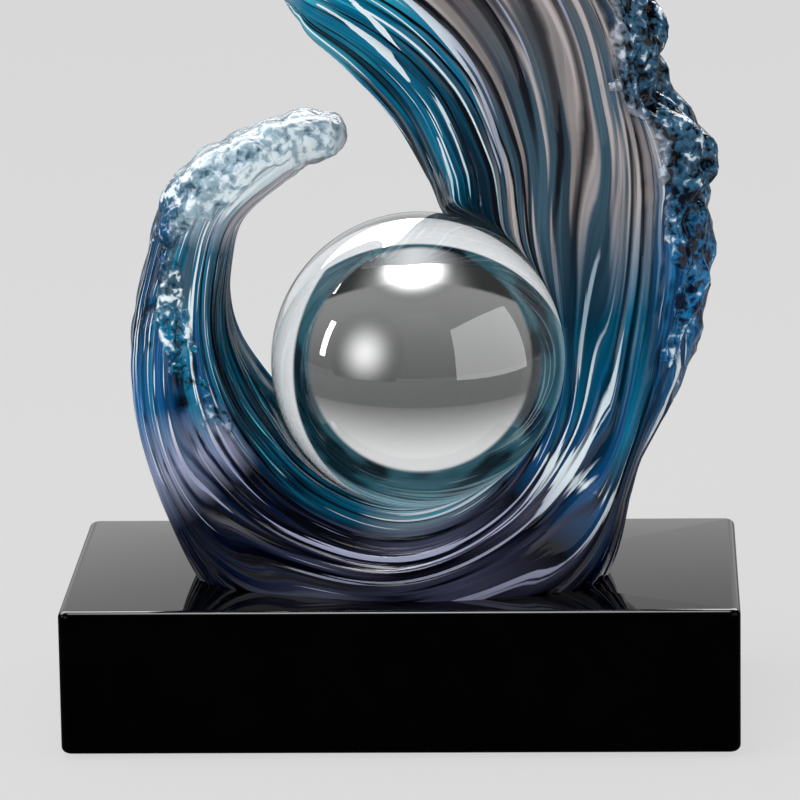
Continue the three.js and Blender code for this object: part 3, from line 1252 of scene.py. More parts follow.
    def along(self, name: str, station: np.ndarray) -> np.ndarray:
        """Reads one size of the stations along the stream.

        Args:
            name: The size.
            station: Station numbers, which may be fractions.

        Returns:
            The size on a smooth curve through the stations.
        """
        row = self.curves[name]
        whole = np.clip(np.floor(station).astype(int), 0, self.last - 1)
        part = station - whole
        before, here, there, after = (row[whole + k] for k in range(4))
        leave = 0.5 * (there - before)
        arrive = 0.5 * (after - here)
        square = part**2
        cube = part**3
        return (
            (2 * cube - 3 * square + 1) * here
            + (cube - 2 * square + part) * leave
            + (3 * square - 2 * cube) * there
            + (cube - square) * arrive
        )

    def middle(self, station: np.ndarray) -> np.ndarray:
        """Middles of sections.

        Args:
            station: Station numbers.

        Returns:
            X and Z from the middle of the stream.
        """
        angle = np.radians(self.along("turn", station))
        reach = self.ball_radius + self.along("rise", station)
        return np.stack([reach * np.cos(angle), reach * np.sin(angle)], -1)

    def axes(self, station: np.ndarray) -> tuple[np.ndarray, np.ndarray]:
        """Axes of sections.

        Args:
            station: Station numbers.

        Returns:
            Directions towards the ball and to the rear.
        """
        step = 0.02
        before = self.middle(np.maximum(station - step, 0.0))
        run = self.middle(np.minimum(station + step, self.last)) - before
        run /= np.linalg.norm(run, axis=-1, keepdims=True)
        inward = np.stack([-run[..., 1], np.zeros_like(station), run[..., 0]], -1)
        rear = np.broadcast_to(np.array([0.0, 1.0, 0.0]), inward.shape)
        lean = np.radians(self.along("lean", station))[..., None]
        return inward * np.cos(lean) - rear * np.sin(lean), rear * np.cos(lean) + inward * np.sin(lean)

    def tip_share(self, station: np.ndarray) -> np.ndarray:
        """Share of a section's size that is left towards the two tips, which are round."""
        cut = 1.0 - np.minimum(1.0, np.minimum(station, self.last - station) / self.tip_rounding)
        return np.maximum(self.tip_least, np.sqrt(1.0 - cut**2))

    def openness(self, station: np.ndarray) -> np.ndarray:
        """How far the flow lines lie apart: 1 along the stream, and less where the ball pinches them."""
        return 1.0 - self.pinch * np.exp(-(((station - self.pinch_station) / self.pinch_reach) ** 2))

    def line_angle(self, phi: np.ndarray, station: np.ndarray) -> np.ndarray:
        """Angle in the section at which a flow line runs: it wanders, and is pinched under the ball."""
        wander = phi + sum(ripple.at(phi, station) for ripple in self.line_wander)
        return 2.0 * np.arctan2(self.openness(station) * np.sin(wander / 2), np.cos(wander / 2))

    def foam_share(self, angle: np.ndarray, station: np.ndarray) -> np.ndarray:
        """Share of foam on the skin.

        Args:
            angle: Angles in the sections, in radians.
            station: Station numbers, of the same length.

        Returns:
            The share, from 0 to 1.
        """
        tip = 1.0 - smooth_step(*self.foam_tip_stations, np.minimum(station, self.last - station))
        curl = self.curl_foam_reach * (1.0 - smooth_step(*self.curl_foam_stations, station))
        outside = smooth_step(*self.foam_span, curl - np.cos(angle))
        return np.clip(self.along("foam", station), 0.0, 1.0) * np.maximum(tip, outside)

    def outwards(self, angle: np.ndarray, station: np.ndarray) -> np.ndarray:
        """How far out places lie, with an uneven shift on the breaker, where spray runs in over the face.

        Args:
            angle: Angles in the sections, in radians.
            station: Station numbers, of the same length.

        Returns:
            About -1 towards the ball, and about 1 on the outer side.
        """
        uneven = self.rim_mean - self.rim_draw_back * smooth_step(*self.rim_draw_back_stations, station)
        for size, rate, phase in self.rim_waves:
            uneven = uneven + size * np.sin(rate * station + phase)
        return uneven * smooth_step(*self.rim_stations, station) - np.cos(angle)

    def spray(self, angle: np.ndarray, station: np.ndarray) -> np.ndarray:
        """Share of flecks beyond the foam: over the shoulder of the small curl, round it, and on the breaker.

        Args:
            angle: Angles in the sections, in radians.
            station: Station numbers, of the same length.

        Returns:
            The share, from 0 to 1.
        """
        out = self.outwards(angle, station)
        shoulder = 1.0 - smooth_step(*self.shoulder_spray_stations, station)
        reach = self.curl_spray_reach + self.shoulder_spray_reach * shoulder
        curl = smooth_step(*self.curl_spray_span, reach + out)
        curl = curl * (1.0 - smooth_step(*self.curl_spray_stations, station))
        breaker = smooth_step(*self.breaker_spray_span, out)
        breaker = breaker * smooth_step(*self.breaker_spray_stations, station)
        return self.spray_share * (curl + breaker)

    def band(self, angle: np.ndarray, station: np.ndarray) -> np.ndarray:
        """Share of flecks in a band that runs down the small curl and slants in towards the ball.

        Args:
            angle: Angles in the sections, in radians.
            station: Station numbers, of the same length.

        Returns:
            The share, from 0 to 1.
        """
        middle = self.band_start + self.band_slant * (station - self.band_station)
        run = up_and_down(self.band_first_stations, self.band_last_stations, station)
        return self.band_share * run * (1.0 - smooth_step(*self.band_span, np.abs(np.cos(angle) - middle)))

    def rim_swell(self, angle: np.ndarray, station: np.ndarray) -> np.ndarray:
        """How far single lumps of the breaker's outer rim stand out.

        Args:
            angle: Angles in the sections, in radians.
            station: Station numbers, of the same length.

        Returns:
            Heights; below 0 they stand back.
        """
        places = [swell.station for swell in RIM_SWELLS]
        heights = [swell.height for swell in RIM_SWELLS]
        return np.interp(station, places, heights) * smooth_step(*self.rim_swell_span, -np.cos(angle))

    def ribs(self, phi: np.ndarray, station: np.ndarray) -> tuple[np.ndarray, np.ndarray]:
        """Relief of the ribs and of the strands on them.

        Args:
            phi: Number of the flow line, in radians.
            station: Station number.

        Returns:
            Height in millimetres, and the share from groove to crest, from which the finish paints shade in
            the grooves.
        """
        rib = np.round(phi * self.rib_count / (2 * np.pi))
        swell = self.rib_mean + self.rib_change.at(rib, station)
        broad = np.abs(np.cos(phi * self.rib_count / 2))
        turn = phi * self.strand_count / 2 + sum(ripple.at(phi, station) for ripple in self.strand_wander)
        strand = np.round(turn / np.pi)
        tone = self.strand_tone_mean + self.strand_tone.at(strand, station)
        patch = sum(ripple.at(phi, station) for ripple in self.strand_patches)
        stands = at_least(self.strand_least, smooth_step(*self.strand_patch_span, patch))
        stands = stands * smooth_step(*self.strand_open_span, self.openness(station))
        stands = stands * at_least(self.strand_least, smooth_step(*self.strand_stations, station))
        fine = np.abs(np.cos(turn))
        height = self.rib_height * swell * (broad - self.rib_base)
        height = height + self.strand_height * stands * (fine - self.strand_base)
        # Painted shade: the share drops in strand and rib grooves; strand tone varies at random.
        crest = 1.0 - stands * (1.0 - smooth_step(*self.strand_shade_span, fine))
        crest = crest * at_least(self.strand_tone_least, tone)
        return height, crest * at_least(self.rib_shade_least, smooth_step(*self.rib_shade_span, broad))

    def lumps(self, length: np.ndarray, across: np.ndarray) -> np.ndarray:
        """Large foam lumps.

        Args:
            length: Lengths along the stream.
            across: Lengths round it.

        Returns:
            Heights, from about -1 to 1.
        """
        u = length * np.pi / self.foam_lump
        v = across * np.pi / self.foam_lump
        first_bend, second_bend = self.lump_bends
        across_rate, along_rate = self.lump_rates
        first = np.abs(np.sin(u + first_bend * np.sin(v)))
        second = np.abs(np.sin(across_rate * v + second_bend * np.sin(along_rate * u)))
        return first + second - self.lump_mean

    def bubbles(self, points: np.ndarray, share: np.ndarray) -> np.ndarray:
        """Small foam bubbles.

        Args:
            points: Points of the skin.
            share: Share of foam or flecks there.

        Returns:
            Heights, from about -1 to 1, and 0 where there is neither.
        """
        height = np.zeros(len(points))
        for i in np.nonzero(share > self.bubble_least_share)[0]:
            place = Vector(points[i]) / self.bubble_size
            small = abs(noise.noise(place * self.small_bubble_scale))
            billow = abs(noise.noise(place)) + self.small_bubble_share * small
            height[i] = self.bubble_gain * billow - self.bubble_mean
        return height

    def pigments(self, angle: np.ndarray, station: np.ndarray) -> dict[str, np.ndarray]:
        """Colours of the skin: pigments, with painted shade, painted reflections and painted highlights.

        Args:
            angle: Angles in the sections, in radians.
            station: Station numbers, of the same length.

        Returns:
            A linear colour for each tone, with the density of the veins as a fourth value.
        """
        cos = np.cos(angle)
        places = [pigment.station for pigment in PIGMENTS]
        lip = np.interp(station, places, [pigment.lip for pigment in PIGMENTS])
        inner = smooth_step(*self.lip_span, cos - lip)
        outer = smooth_step(*self.outer_span, self.outwards(angle, station)) * (1.0 - inner)
        shares = {"inner": inner, "face": 1.0 - inner - outer, "outer": outer}
        # Painted highlight: a pale line where the inner side meets the face.
        ridge = self.ridge * np.exp(-(((cos - lip) / self.ridge_width) ** 2))
        ridge = ridge * smooth_step(*self.ridge_stations, station)
        made = {}
        for tone in TONES:
            colour = np.zeros((len(station), 4))
            for side, share in shares.items():
                tints = [getattr(pigment, side) for pigment in PIGMENTS]
                table = np.array([(*getattr(tint, tone).value, tint.density) for tint in tints])
                read = np.stack([np.interp(station, places, table[:, channel]) for channel in range(4)], -1)
                colour += share[:, None] * read
            colour[:, 3] += ridge
            made[tone] = colour
        return made

    @staticmethod
    def strokes(phi: np.ndarray, station: np.ndarray) -> np.ndarray:
        """Depth inside the nearest painted highlight stroke.

        Args:
            phi: Numbers of the flow lines, in radians.
            station: Station numbers, of the same length.

        Returns:
            Above 0 on a stroke, and down to -1 away from all.
        """
        depth = np.full(len(phi), -1.0)
        for stroke in STROKES:
            part = np.clip((station - stroke.first) / (stroke.last - stroke.first), 0.0, 1.0)
            line = stroke.start + (stroke.end - stroke.start) * part
            taper = 2.0 * np.sqrt(part * (1.0 - part))
            depth = np.maximum(depth, taper - np.abs(phi - line) / stroke.width)
        return depth

    def clear_of_ball(self, points: np.ndarray) -> np.ndarray:
        """Presses the skin softly out of the ball's seat and of the way by which the ball comes out.

        Args:
            points: Points of the skin.

        Returns:
            The pressed points.
        """
        limit = self.ball_radius + self.seat_gap
        way = np.array(self.lift_way)
        from_ball = points - np.array(self.ball_centre)
        along_way = np.maximum(from_ball @ way, 0.0)[:, None] * way
        away = from_ball - along_way
        gap = np.linalg.norm(away, axis=1)
        wanted = limit + self.seat_blend * np.logaddexp(0.0, (gap - limit) / self.seat_blend)
        return np.array(self.ball_centre) + along_way + away * (wanted / np.maximum(gap, 1e-6))[:, None]

    def plain_skin(self, angle: np.ndarray, station: np.ndarray) -> tuple[np.ndarray, np.ndarray, np.ndarray]:
        """Works out the skin without its relief.

        Args:
            angle: Angles in the sections, in radians.
            station: Station numbers, of the same length.

        Returns:
            Points from the middle of the stream, directions out of the skin, and half-widths and half-depths.
        """
        cos = np.cos(angle)
        sin = np.sin(angle)
        power = 2.0 / self.squareness
        tip = self.tip_share(station)
        width = tip * np.where(cos > 0, self.along("inner", station), self.along("outer", station))
        depth = tip * self.along("depth", station)
        across, through = self.axes(station)
        offset = across * (width * np.sign(cos) * np.abs(cos) ** power)[:, None]
        offset = offset + through * (depth * np.sign(sin) * np.abs(sin) ** power)[:, None]
        outward = offset / np.maximum(np.linalg.norm(offset, axis=1, keepdims=True), 1e-9)
        middle = self.middle(station)
        points = np.stack([middle[:, 0], self.along("back", station), middle[:, 1]], -1) + offset
        return points, outward, np.stack([width, depth])

    def skin(self, phi: np.ndarray, station: np.ndarray) -> dict[str, np.ndarray]:
        """Works out the skin of the stream.

        Args:
            phi: Numbers of the flow lines, in radians.
            station: Station numbers, of the same length.

        Returns:
            Points in metres, and the values that the finish reads.
        """
        angle = self.line_angle(phi, station)
        points, outward, halves = self.plain_skin(angle, station)
        length = station * self.station_pitch
        flank = up_and_down(self.flank_first_stations, self.flank_last_stations, station)
        calm = 1.0 - self.curl_calm * (1.0 - smooth_step(*self.curl_calm_stations, station))
        calm = calm * (1.0 - self.flank_calm * flank)
        foam = self.foam_share(angle, station)
        band = self.band(angle, station)
        spray = np.maximum(np.maximum(foam, self.spray(angle, station)), band)
        height, crest = self.ribs(phi, station)
        lumps = self.lumps(length, angle * 0.5 * halves.sum(axis=0))
        bubbles = self.bubbles(points, spray)
        bubbly = self.bubble_foam_share * foam + (1.0 - self.bubble_foam_share) * spray
        relief = (1.0 - foam) * height + calm * foam * self.foam_height * lumps
        relief = relief + calm * bubbly * self.bubble_height * bubbles
        relief = relief * np.minimum(1.0, halves.min(axis=0) / self.full_relief_width)
        relief = relief + self.rim_swell(angle, station)
        points = points + outward * relief[:, None] + np.array(self.stream_centre)
        froth = smooth_step(*self.froth_span, self.froth_lumps * lumps + self.froth_bubbles * bubbles)
        values = {
            "points": self.clear_of_ball(points) * MM,
            "flow": np.stack([length * MM, np.cos(phi), np.sin(phi)], -1),
            "foam": np.maximum(spray * (1.0 - self.flank_bare * flank), band),
            # crest: groove-to-crest share, and on foam the height of lumps and bubbles; the finish paints
            # shade and highlights from it.
            "crest": (1.0 - spray) * crest + spray * froth,
            "stroke": np.where(spray > self.spray_over_strokes, -1.0, self.strokes(phi, station)),
            "pinched": 1.0 - smooth_step(*self.pinched_span, self.openness(station)),
        }
        return values | self.pigments(angle, station)

    def build(self) -> bpy.types.Object:
        """Builds the casting.

        Returns:
            The finished mesh, cut flat at the plinth, with the ball's seat and the pockets of the inserts.
        """
        Bench.clear()
        bpy.ops.mesh.primitive_grid_add(x_subdivisions=self.round_points, y_subdivisions=self.rings, size=2.0)
        piece = Bench.named("wave")
        mesh = piece.data
        flat = np.empty(len(mesh.vertices) * 3, np.float32)
        mesh.vertices.foreach_get("co", flat)
        grid = flat.reshape(-1, 3).astype(float)
        column = np.round((grid[:, 0] + 1.0) / 2.0 * self.round_points)
        row = np.round((grid[:, 1] + 1.0) / 2.0 * self.rings)
        phi = 2 * np.pi * (column % self.round_points) / self.round_points
        skin = self.skin(phi, row / self.rings * self.last)
        mesh.vertices.foreach_set("co", skin.pop("points").astype(np.float32).ravel())
        self._keep(mesh, skin)
        bpy.ops.object.mode_set(mode="EDIT")
        bpy.ops.mesh.select_all(action="SELECT")
        bpy.ops.mesh.remove_doubles(threshold=1e-7)
        bpy.ops.mesh.select_all(action="SELECT")
        bpy.ops.mesh.fill_holes(sides=0)
        bpy.ops.mesh.select_all(action="SELECT")
        bpy.ops.mesh.normals_make_consistent(inside=False)
        foot = (0.0, 0.0, self.plinth_top * MM)
        bpy.ops.mesh.bisect(plane_co=foot, plane_no=(0.0, 0.0, 1.0), use_fill=True, clear_inner=True)
        bpy.ops.object.mode_set(mode="OBJECT")
        Bench.cut(piece, self._pockets())
        Bench.polish(piece, self.smooth_angle)
        return piece

    @staticmethod
    def _keep(mesh: bpy.types.Mesh, values: dict[str, np.ndarray]) -> None:
        """Keeps values on the points of a mesh, for the finish to read.

        Args:
            mesh: The mesh.
            values: Numbers, vectors or colours with a fourth value, by the names of their attributes.
        """
        kinds = {1: ("FLOAT", "value"), 3: ("FLOAT_VECTOR", "vector"), 4: ("FLOAT_COLOR", "color")}
        for name, value in values.items():
            kind, key = kinds[1 if value.ndim == 1 else value.shape[1]]
            mesh.attributes.new(name, kind, "POINT").data.foreach_set(key, value.astype(np.float32).ravel())

    def _pockets(self) -> list[bpy.types.Object]:
        """Makes the pockets that hold the inserts.

        Returns:
            Solids to cut away.
        """
        low = self.plinth_top - self.cut_margin
        height = self.pocket_height + self.cut_margin
        reach = self.pocket_spacing / 2
        feet = [(side.value * reach, 0.0, low) for side in Side]
        return [Bench.rod("pocket_cut", self.pocket_radius, foot, height) for foot in feet]


@dataclass
class Ball:
    """The loose crystal ball."""

    radius: float = BALL_RADIUS
    centre: Triple = BALL_CENTRE
    cuts: int = 79
    smooth_angle: float = 180.0

    def build(self) -> bpy.types.Object:
        """Builds the ball of even squares, by rounding a subdivided cube.

        Returns:
            The ball.
        """
        Bench.clear()
        bpy.ops.mesh.primitive_cube_add(size=2.0 * self.radius * MM)
        piece = Bench.named("ball")
        bpy.ops.object.mode_set(mode="EDIT")
        bpy.ops.mesh.select_all(action="SELECT")
        bpy.ops.mesh.subdivide(number_cuts=self.cuts)
        bpy.ops.object.mode_set(mode="OBJECT")
        cast = piece.modifiers.new("round", "CAST")
        cast.cast_type = "SPHERE"
        cast.factor = 1.0
        cast.use_radius_as_size = False
        cast.radius = 0.0
        cast.size = self.radius * MM
        bpy.ops.object.modifier_apply(modifier=cast.name)
        piece.location = [c * MM for c in self.centre]
        Bench.polish(Bench.settle(piece), self.smooth_angle)
        return piece


@dataclass
class Plinth:
    """The black block, with rounded edges, pad recesses and counterbored screw holes."""

    width: float = 180.0
    depth: float = 100.0
    height: float = 39.0
    bottom: float = 1.0
    corner_radius: float = 3.0
    corner_facets: int = 8
    edge_radius: float = 1.8
    edge_facets: int = 6
    pad_radius: float = 8.3
    pad_recess: float = 1.0
    pad_reach: tuple[float, float] = PAD_REACH
    hole_radius: float = 2.8
    hole_sides: int = 32
    hole_spacing: float = FIXING_SPACING
    counterbore_radius: float = 7.5
    counterbore_top: float = 7.7
    cut_margin: float = 1.0
    smooth_angle: float = 40.0

    def build(self) -> bpy.types.Object:
        """Builds the block, rounds its upright and then its level edges, and cuts its recesses and holes.

        Returns:
            The block.
        """
        size = (self.width, self.depth, self.height)
        piece = Bench.block("plinth_block", size, (0.0, 0.0, self.bottom + self.height / 2))
        half = self.height / 2
        Bench.bevel(piece, lambda a, b: abs(a.z - b.z) > half, self.corner_radius, self.corner_facets)
        Bench.bevel(piece, lambda a, b: abs(a.z - b.z) < half, self.edge_radius, self.edge_facets)
        Bench.cut(piece, self._cutters())
        Bench.polish(piece, self.smooth_angle)
        return piece

    def _cutters(self) -> list[bpy.types.Object]:
        """Makes the pad recesses, screw holes and counterbores.

        Returns:
            Solids to cut away.
        """
        low = self.bottom - self.cut_margin
        through = self.height + 2 * self.cut_margin
        recess = self.pad_recess + self.cut_margin
        made = []
        for corner in Corner:
            x, y = (sign * reach for sign, reach in zip(corner.value, self.pad_reach))
            made.append(Bench.rod("recess_cut", self.pad_radius, (x, y, low), recess))
        for side in Side:
            foot = (side.value * self.hole_spacing / 2, 0.0, low)
            made.append(Bench.rod("bore_cut", self.counterbore_radius, foot, self.counterbore_top - low))
            made.append(Bench.rod("hole_cut", self.hole_radius, foot, through, self.hole_sides))
        return made


@dataclass
class Fixing:
    """One screw with its washer and the insert that it goes into.

    dome is the profile of the rounded screw head, as shares of its radius and its height. Fields that end in
    edge are sizes of broken edges.
    """

    side: Side
    spacing: float = FIXING_SPACING
    head_seat: float = 6.7
    insert_bottom: float = PLINTH_TOP
    screw_radius: float = 2.5
    screw_length: float = 45.0
    screw_point: float = 0.8
    head_radius: float = 4.75
    head_height: float = 3.2
    dome: tuple[tuple[float, float], ...] = ((0.72, 1.0), (0.87, 0.82), (0.97, 0.56), (1.0, 0.3), (1.0, 0.0))
    key_size: float = 3.0
    key_depth: float = 1.8
    key_sides: int = 6
    washer_radius: float = 6.0
    washer_thickness: float = 1.0
    washer_edge: float = 0.15
    insert_radius: float = 4.0
    insert_length: float = 12.0
    insert_edge: float = 0.2
    collar: float = 1.0
    groove: float = 0.5
    bore: float = 2.8
    bore_sides: int = 48
    cut_margin: float = 1.0
    smooth_angle: float = 30.0

    def finished(self, piece: bpy.types.Object, cutter: bpy.types.Object, height: float) -> bpy.types.Object:
        """Cuts a piece on the axis, smooths it and moves it to its place.

        Args:
            piece: The piece.
            cutter: What is cut out of it.
            height: Height at which the piece starts.

        Returns:
            The piece in its place.
        """
        Bench.cut(piece, [cutter])
        Bench.polish(piece, self.smooth_angle)
        piece.location = (self.side.value * self.spacing / 2 * MM, 0.0, height * MM)
        return Bench.settle(piece)

    def through_bore(self, length: float) -> bpy.types.Object:
        """Solid of a bore through a piece of a length."""
        foot = (0.0, 0.0, -self.cut_margin)
        return Bench.rod("bore_cut", self.bore, foot, length + 2 * self.cut_margin, self.bore_sides)

    def screw(self) -> bpy.types.Object:
        """Builds the screw: domed head with a hexagon socket, shank and chamfered point.

        Returns:
            The screw in its place.
        """
        shank = self.screw_radius
        profile = [(self.head_radius * wide, -self.head_height * high) for wide, high in self.dome]
        point = self.screw_point
        profile += [(shank, 0.0), (shank, self.screw_length - point), (shank - point, self.screw_length)]
        piece = Bench.turned(f"screw_{self.side.name.lower()}", profile)
        foot = (0.0, 0.0, -self.head_height - self.cut_margin)
        depth = self.key_depth + self.cut_margin
        key = Bench.rod("key_cut", self.key_size / math.sqrt(3.0), foot, depth, self.key_sides)
        return self.finished(piece, key, self.head_seat)

    def washer(self) -> bpy.types.Object:
        """Builds the washer, with broken edges.

        Returns:
            The washer in its place.
        """
        edge = self.washer_edge
        radius = self.washer_radius
        thick = self.washer_thickness
        profile = [(radius - edge, 0.0), (radius, edge), (radius, thick - edge), (radius - edge, thick)]
        piece = Bench.turned(f"washer_ring_{self.side.name.lower()}", profile)
        return self.finished(piece, self.through_bore(thick), self.head_seat)

    def insert(self) -> bpy.types.Object:
        """Builds the insert, with a collar at both ends.

        Returns:
            The insert in its place.
        """
        edge = self.insert_edge
        outer = self.insert_radius
        waist = outer - self.groove
        low = self.collar
        high = self.insert_length - self.collar
        top = self.insert_length
        profile = [(outer - edge, 0.0), (outer, edge), (outer, low), (waist, low)]
        profile += [(waist, high), (outer, high), (outer, top - edge), (outer - edge, top)]
        piece = Bench.turned(f"insert_{self.side.name.lower()}", profile)
        return self.finished(piece, self.through_bore(self.insert_length), self.insert_bottom)


@dataclass
class Pad:
    """One felt pad under the plinth; worn is the loss of radius and the height of a step on its edge."""

    corner: Corner
    radius: float = 8.0
    thickness: float = 2.0
    chamfer: float = 0.4
    worn: tuple[float, float] = (0.12, 0.14)
    reach: tuple[float, float] = PAD_REACH
    smooth_angle: float = 40.0

    def build(self) -> bpy.types.Object:
        """Builds the pad, with a worn lower edge.

        Returns:
            The pad in its place.
        """
        loss, height = self.worn
        profile = [(self.radius - self.chamfer, 0.0), (self.radius - loss, height)]
        profile += [(self.radius, self.chamfer), (self.radius, self.thickness)]
        piece = Bench.turned(f"felt_{self.corner.name.lower()}", profile)
        x, y = (sign * reach * MM for sign, reach in zip(self.corner.value, self.reach))
        piece.location = (x, y, 0.0)
        Bench.polish(Bench.settle(piece), self.smooth_angle)
        return piece


# Studio


class Shows(Enum):
    """What a lamp shows on: everything, matt surfaces alone or gloss alone."""

    EVERYWHERE = (True, True, True)
    ON_MATT = (True, False, False)
    ON_GLOSS = (False, True, False)


@dataclass(frozen=True)
class Lamp:
    """A soft lamp or card: where it hangs, its two sides, its radiance, and what it shows on."""

    name: str
    place: Triple
    size: tuple[float, float]
    radiance: float
    shows: Shows = Shows.EVERYWHERE
    round: bool = False


@dataclass(frozen=True)
class Glow:
    """A round card that fades to its edge: where it hangs, its radius, and the radiance of its middle."""

    name: str
    place: Triple
    radius: float
    radiance: float


@dataclass(frozen=True)
class GlassSet:
    """What rays through glass see of the set: a grey table painted dark as shadow behind the plinth, a lit
    wall, white cards, a painted sheen, and teal round them as painted reflections of the resin.

    A slope is how far a ray goes to the right for its way to the rear, and a drop how far it goes down.
    Fields that end in span are the two ends of a smooth step.
    """

    axis: Triple = (-0.04, 0.973, -0.226)
    least_rear: float = 0.001
    # The table, gap and sheen fields paint shadow behind the plinth and a sheen over it.
    table_far: float = 0.13
    table_near: float = 0.33
    table_span: Span = (0.0, 0.69)
    gap: float = 0.03
    gap_span: Span = (0.67, 0.71)
    sheen: float = 0.9
    sheen_span: Span = (0.0, 0.55)
    wall: tuple[float, float] = (0.07, 0.95)
    wall_span: Span = (-0.1, 0.33)
    horizon_span: Span = (-0.004, 0.004)
    dusk: Triple = (0.004, 0.012, 0.016)
    teal: Triple = (0.03, 0.11, 0.14)
    teal_scale: float = 3.0
    teal_span: Span = (0.42, 0.56)
    glow: Triple = (0.3, 0.55, 0.65)
    glow_span: Span = (0.35, 0.5)
    card: Triple = (1.1, 1.12, 1.14)
    right_card_span: Span = (0.98, 1.08)
    low_card_span: Span = (1.27, 1.34)
    inside_span: Span = (0.785, 0.81)
    rear_span: Span = (0.02, 0.1)

    def colour(self, nodes: Nodes, way: Signal) -> Signal:
        """Colour that a ray sees.

        Args:
            nodes: The tree.
            way: Direction of the ray.

        Returns:
            The colour: straight ahead the wall, and the table, painted as shadowed, with a painted sheen and
                dark band before it; round them the ring of painted reflections.
        """
        rear = nodes.larger(nodes.axis(way, "Y"), self.least_rear)
        height = nodes.axis(way, "Z")
        slope = nodes.axis(way, "X") / rear
        drop = (0.0 - height) / rear
        dot = {"operation": "DOT_PRODUCT"}
        ahead = nodes.add("ShaderNodeVectorMath", dot, {0: way, 1: self.axis}, "Value")
        dusk, teal, glow, card = ((*colour, 1.0) for colour in (self.dusk, self.teal, self.glow, self.card))
        aside = nodes.add("ShaderNodeMath", {"operation": "ABSOLUTE"}, {0: slope})
        # Painted sheen over the dark band above the table.
        sheen = 1.0 - nodes.step(aside, *self.sheen_span)
        gap = sheen * sheen * self.sheen + self.gap
        # Painted shadow: the table and the dark band stand for floor in shadow behind the plinth.
        table = nodes.blend(nodes.step(drop, *self.table_span), self.table_far, self.table_near)
        table = nodes.blend(nodes.step(drop, *self.gap_span), table, gap)
        wall = nodes.blend(nodes.step(height, *self.wall_span), *self.wall)
        inside = nodes.blend(nodes.step(height, *self.horizon_span), table, wall)
        # Painted reflection: teal patches and a cyan glow in the ring, in place of the resin round the ball.
        patch = nodes.step(nodes.grain(way, self.teal_scale, detail=1.0), *self.teal_span)
        ring = nodes.tint(patch, dusk, teal)
        ring = nodes.tint(nodes.step(ahead, *self.glow_span), glow, ring)
        ring = nodes.tint(nodes.step(slope, *self.right_card_span), ring, card)
        shown = nodes.tint(nodes.step(ahead, *self.inside_span), ring, inside)
        shown = nodes.tint(nodes.step(drop, *self.low_card_span), shown, card)
        return nodes.tint(nodes.step(rear, *self.rear_span), dusk, shown)


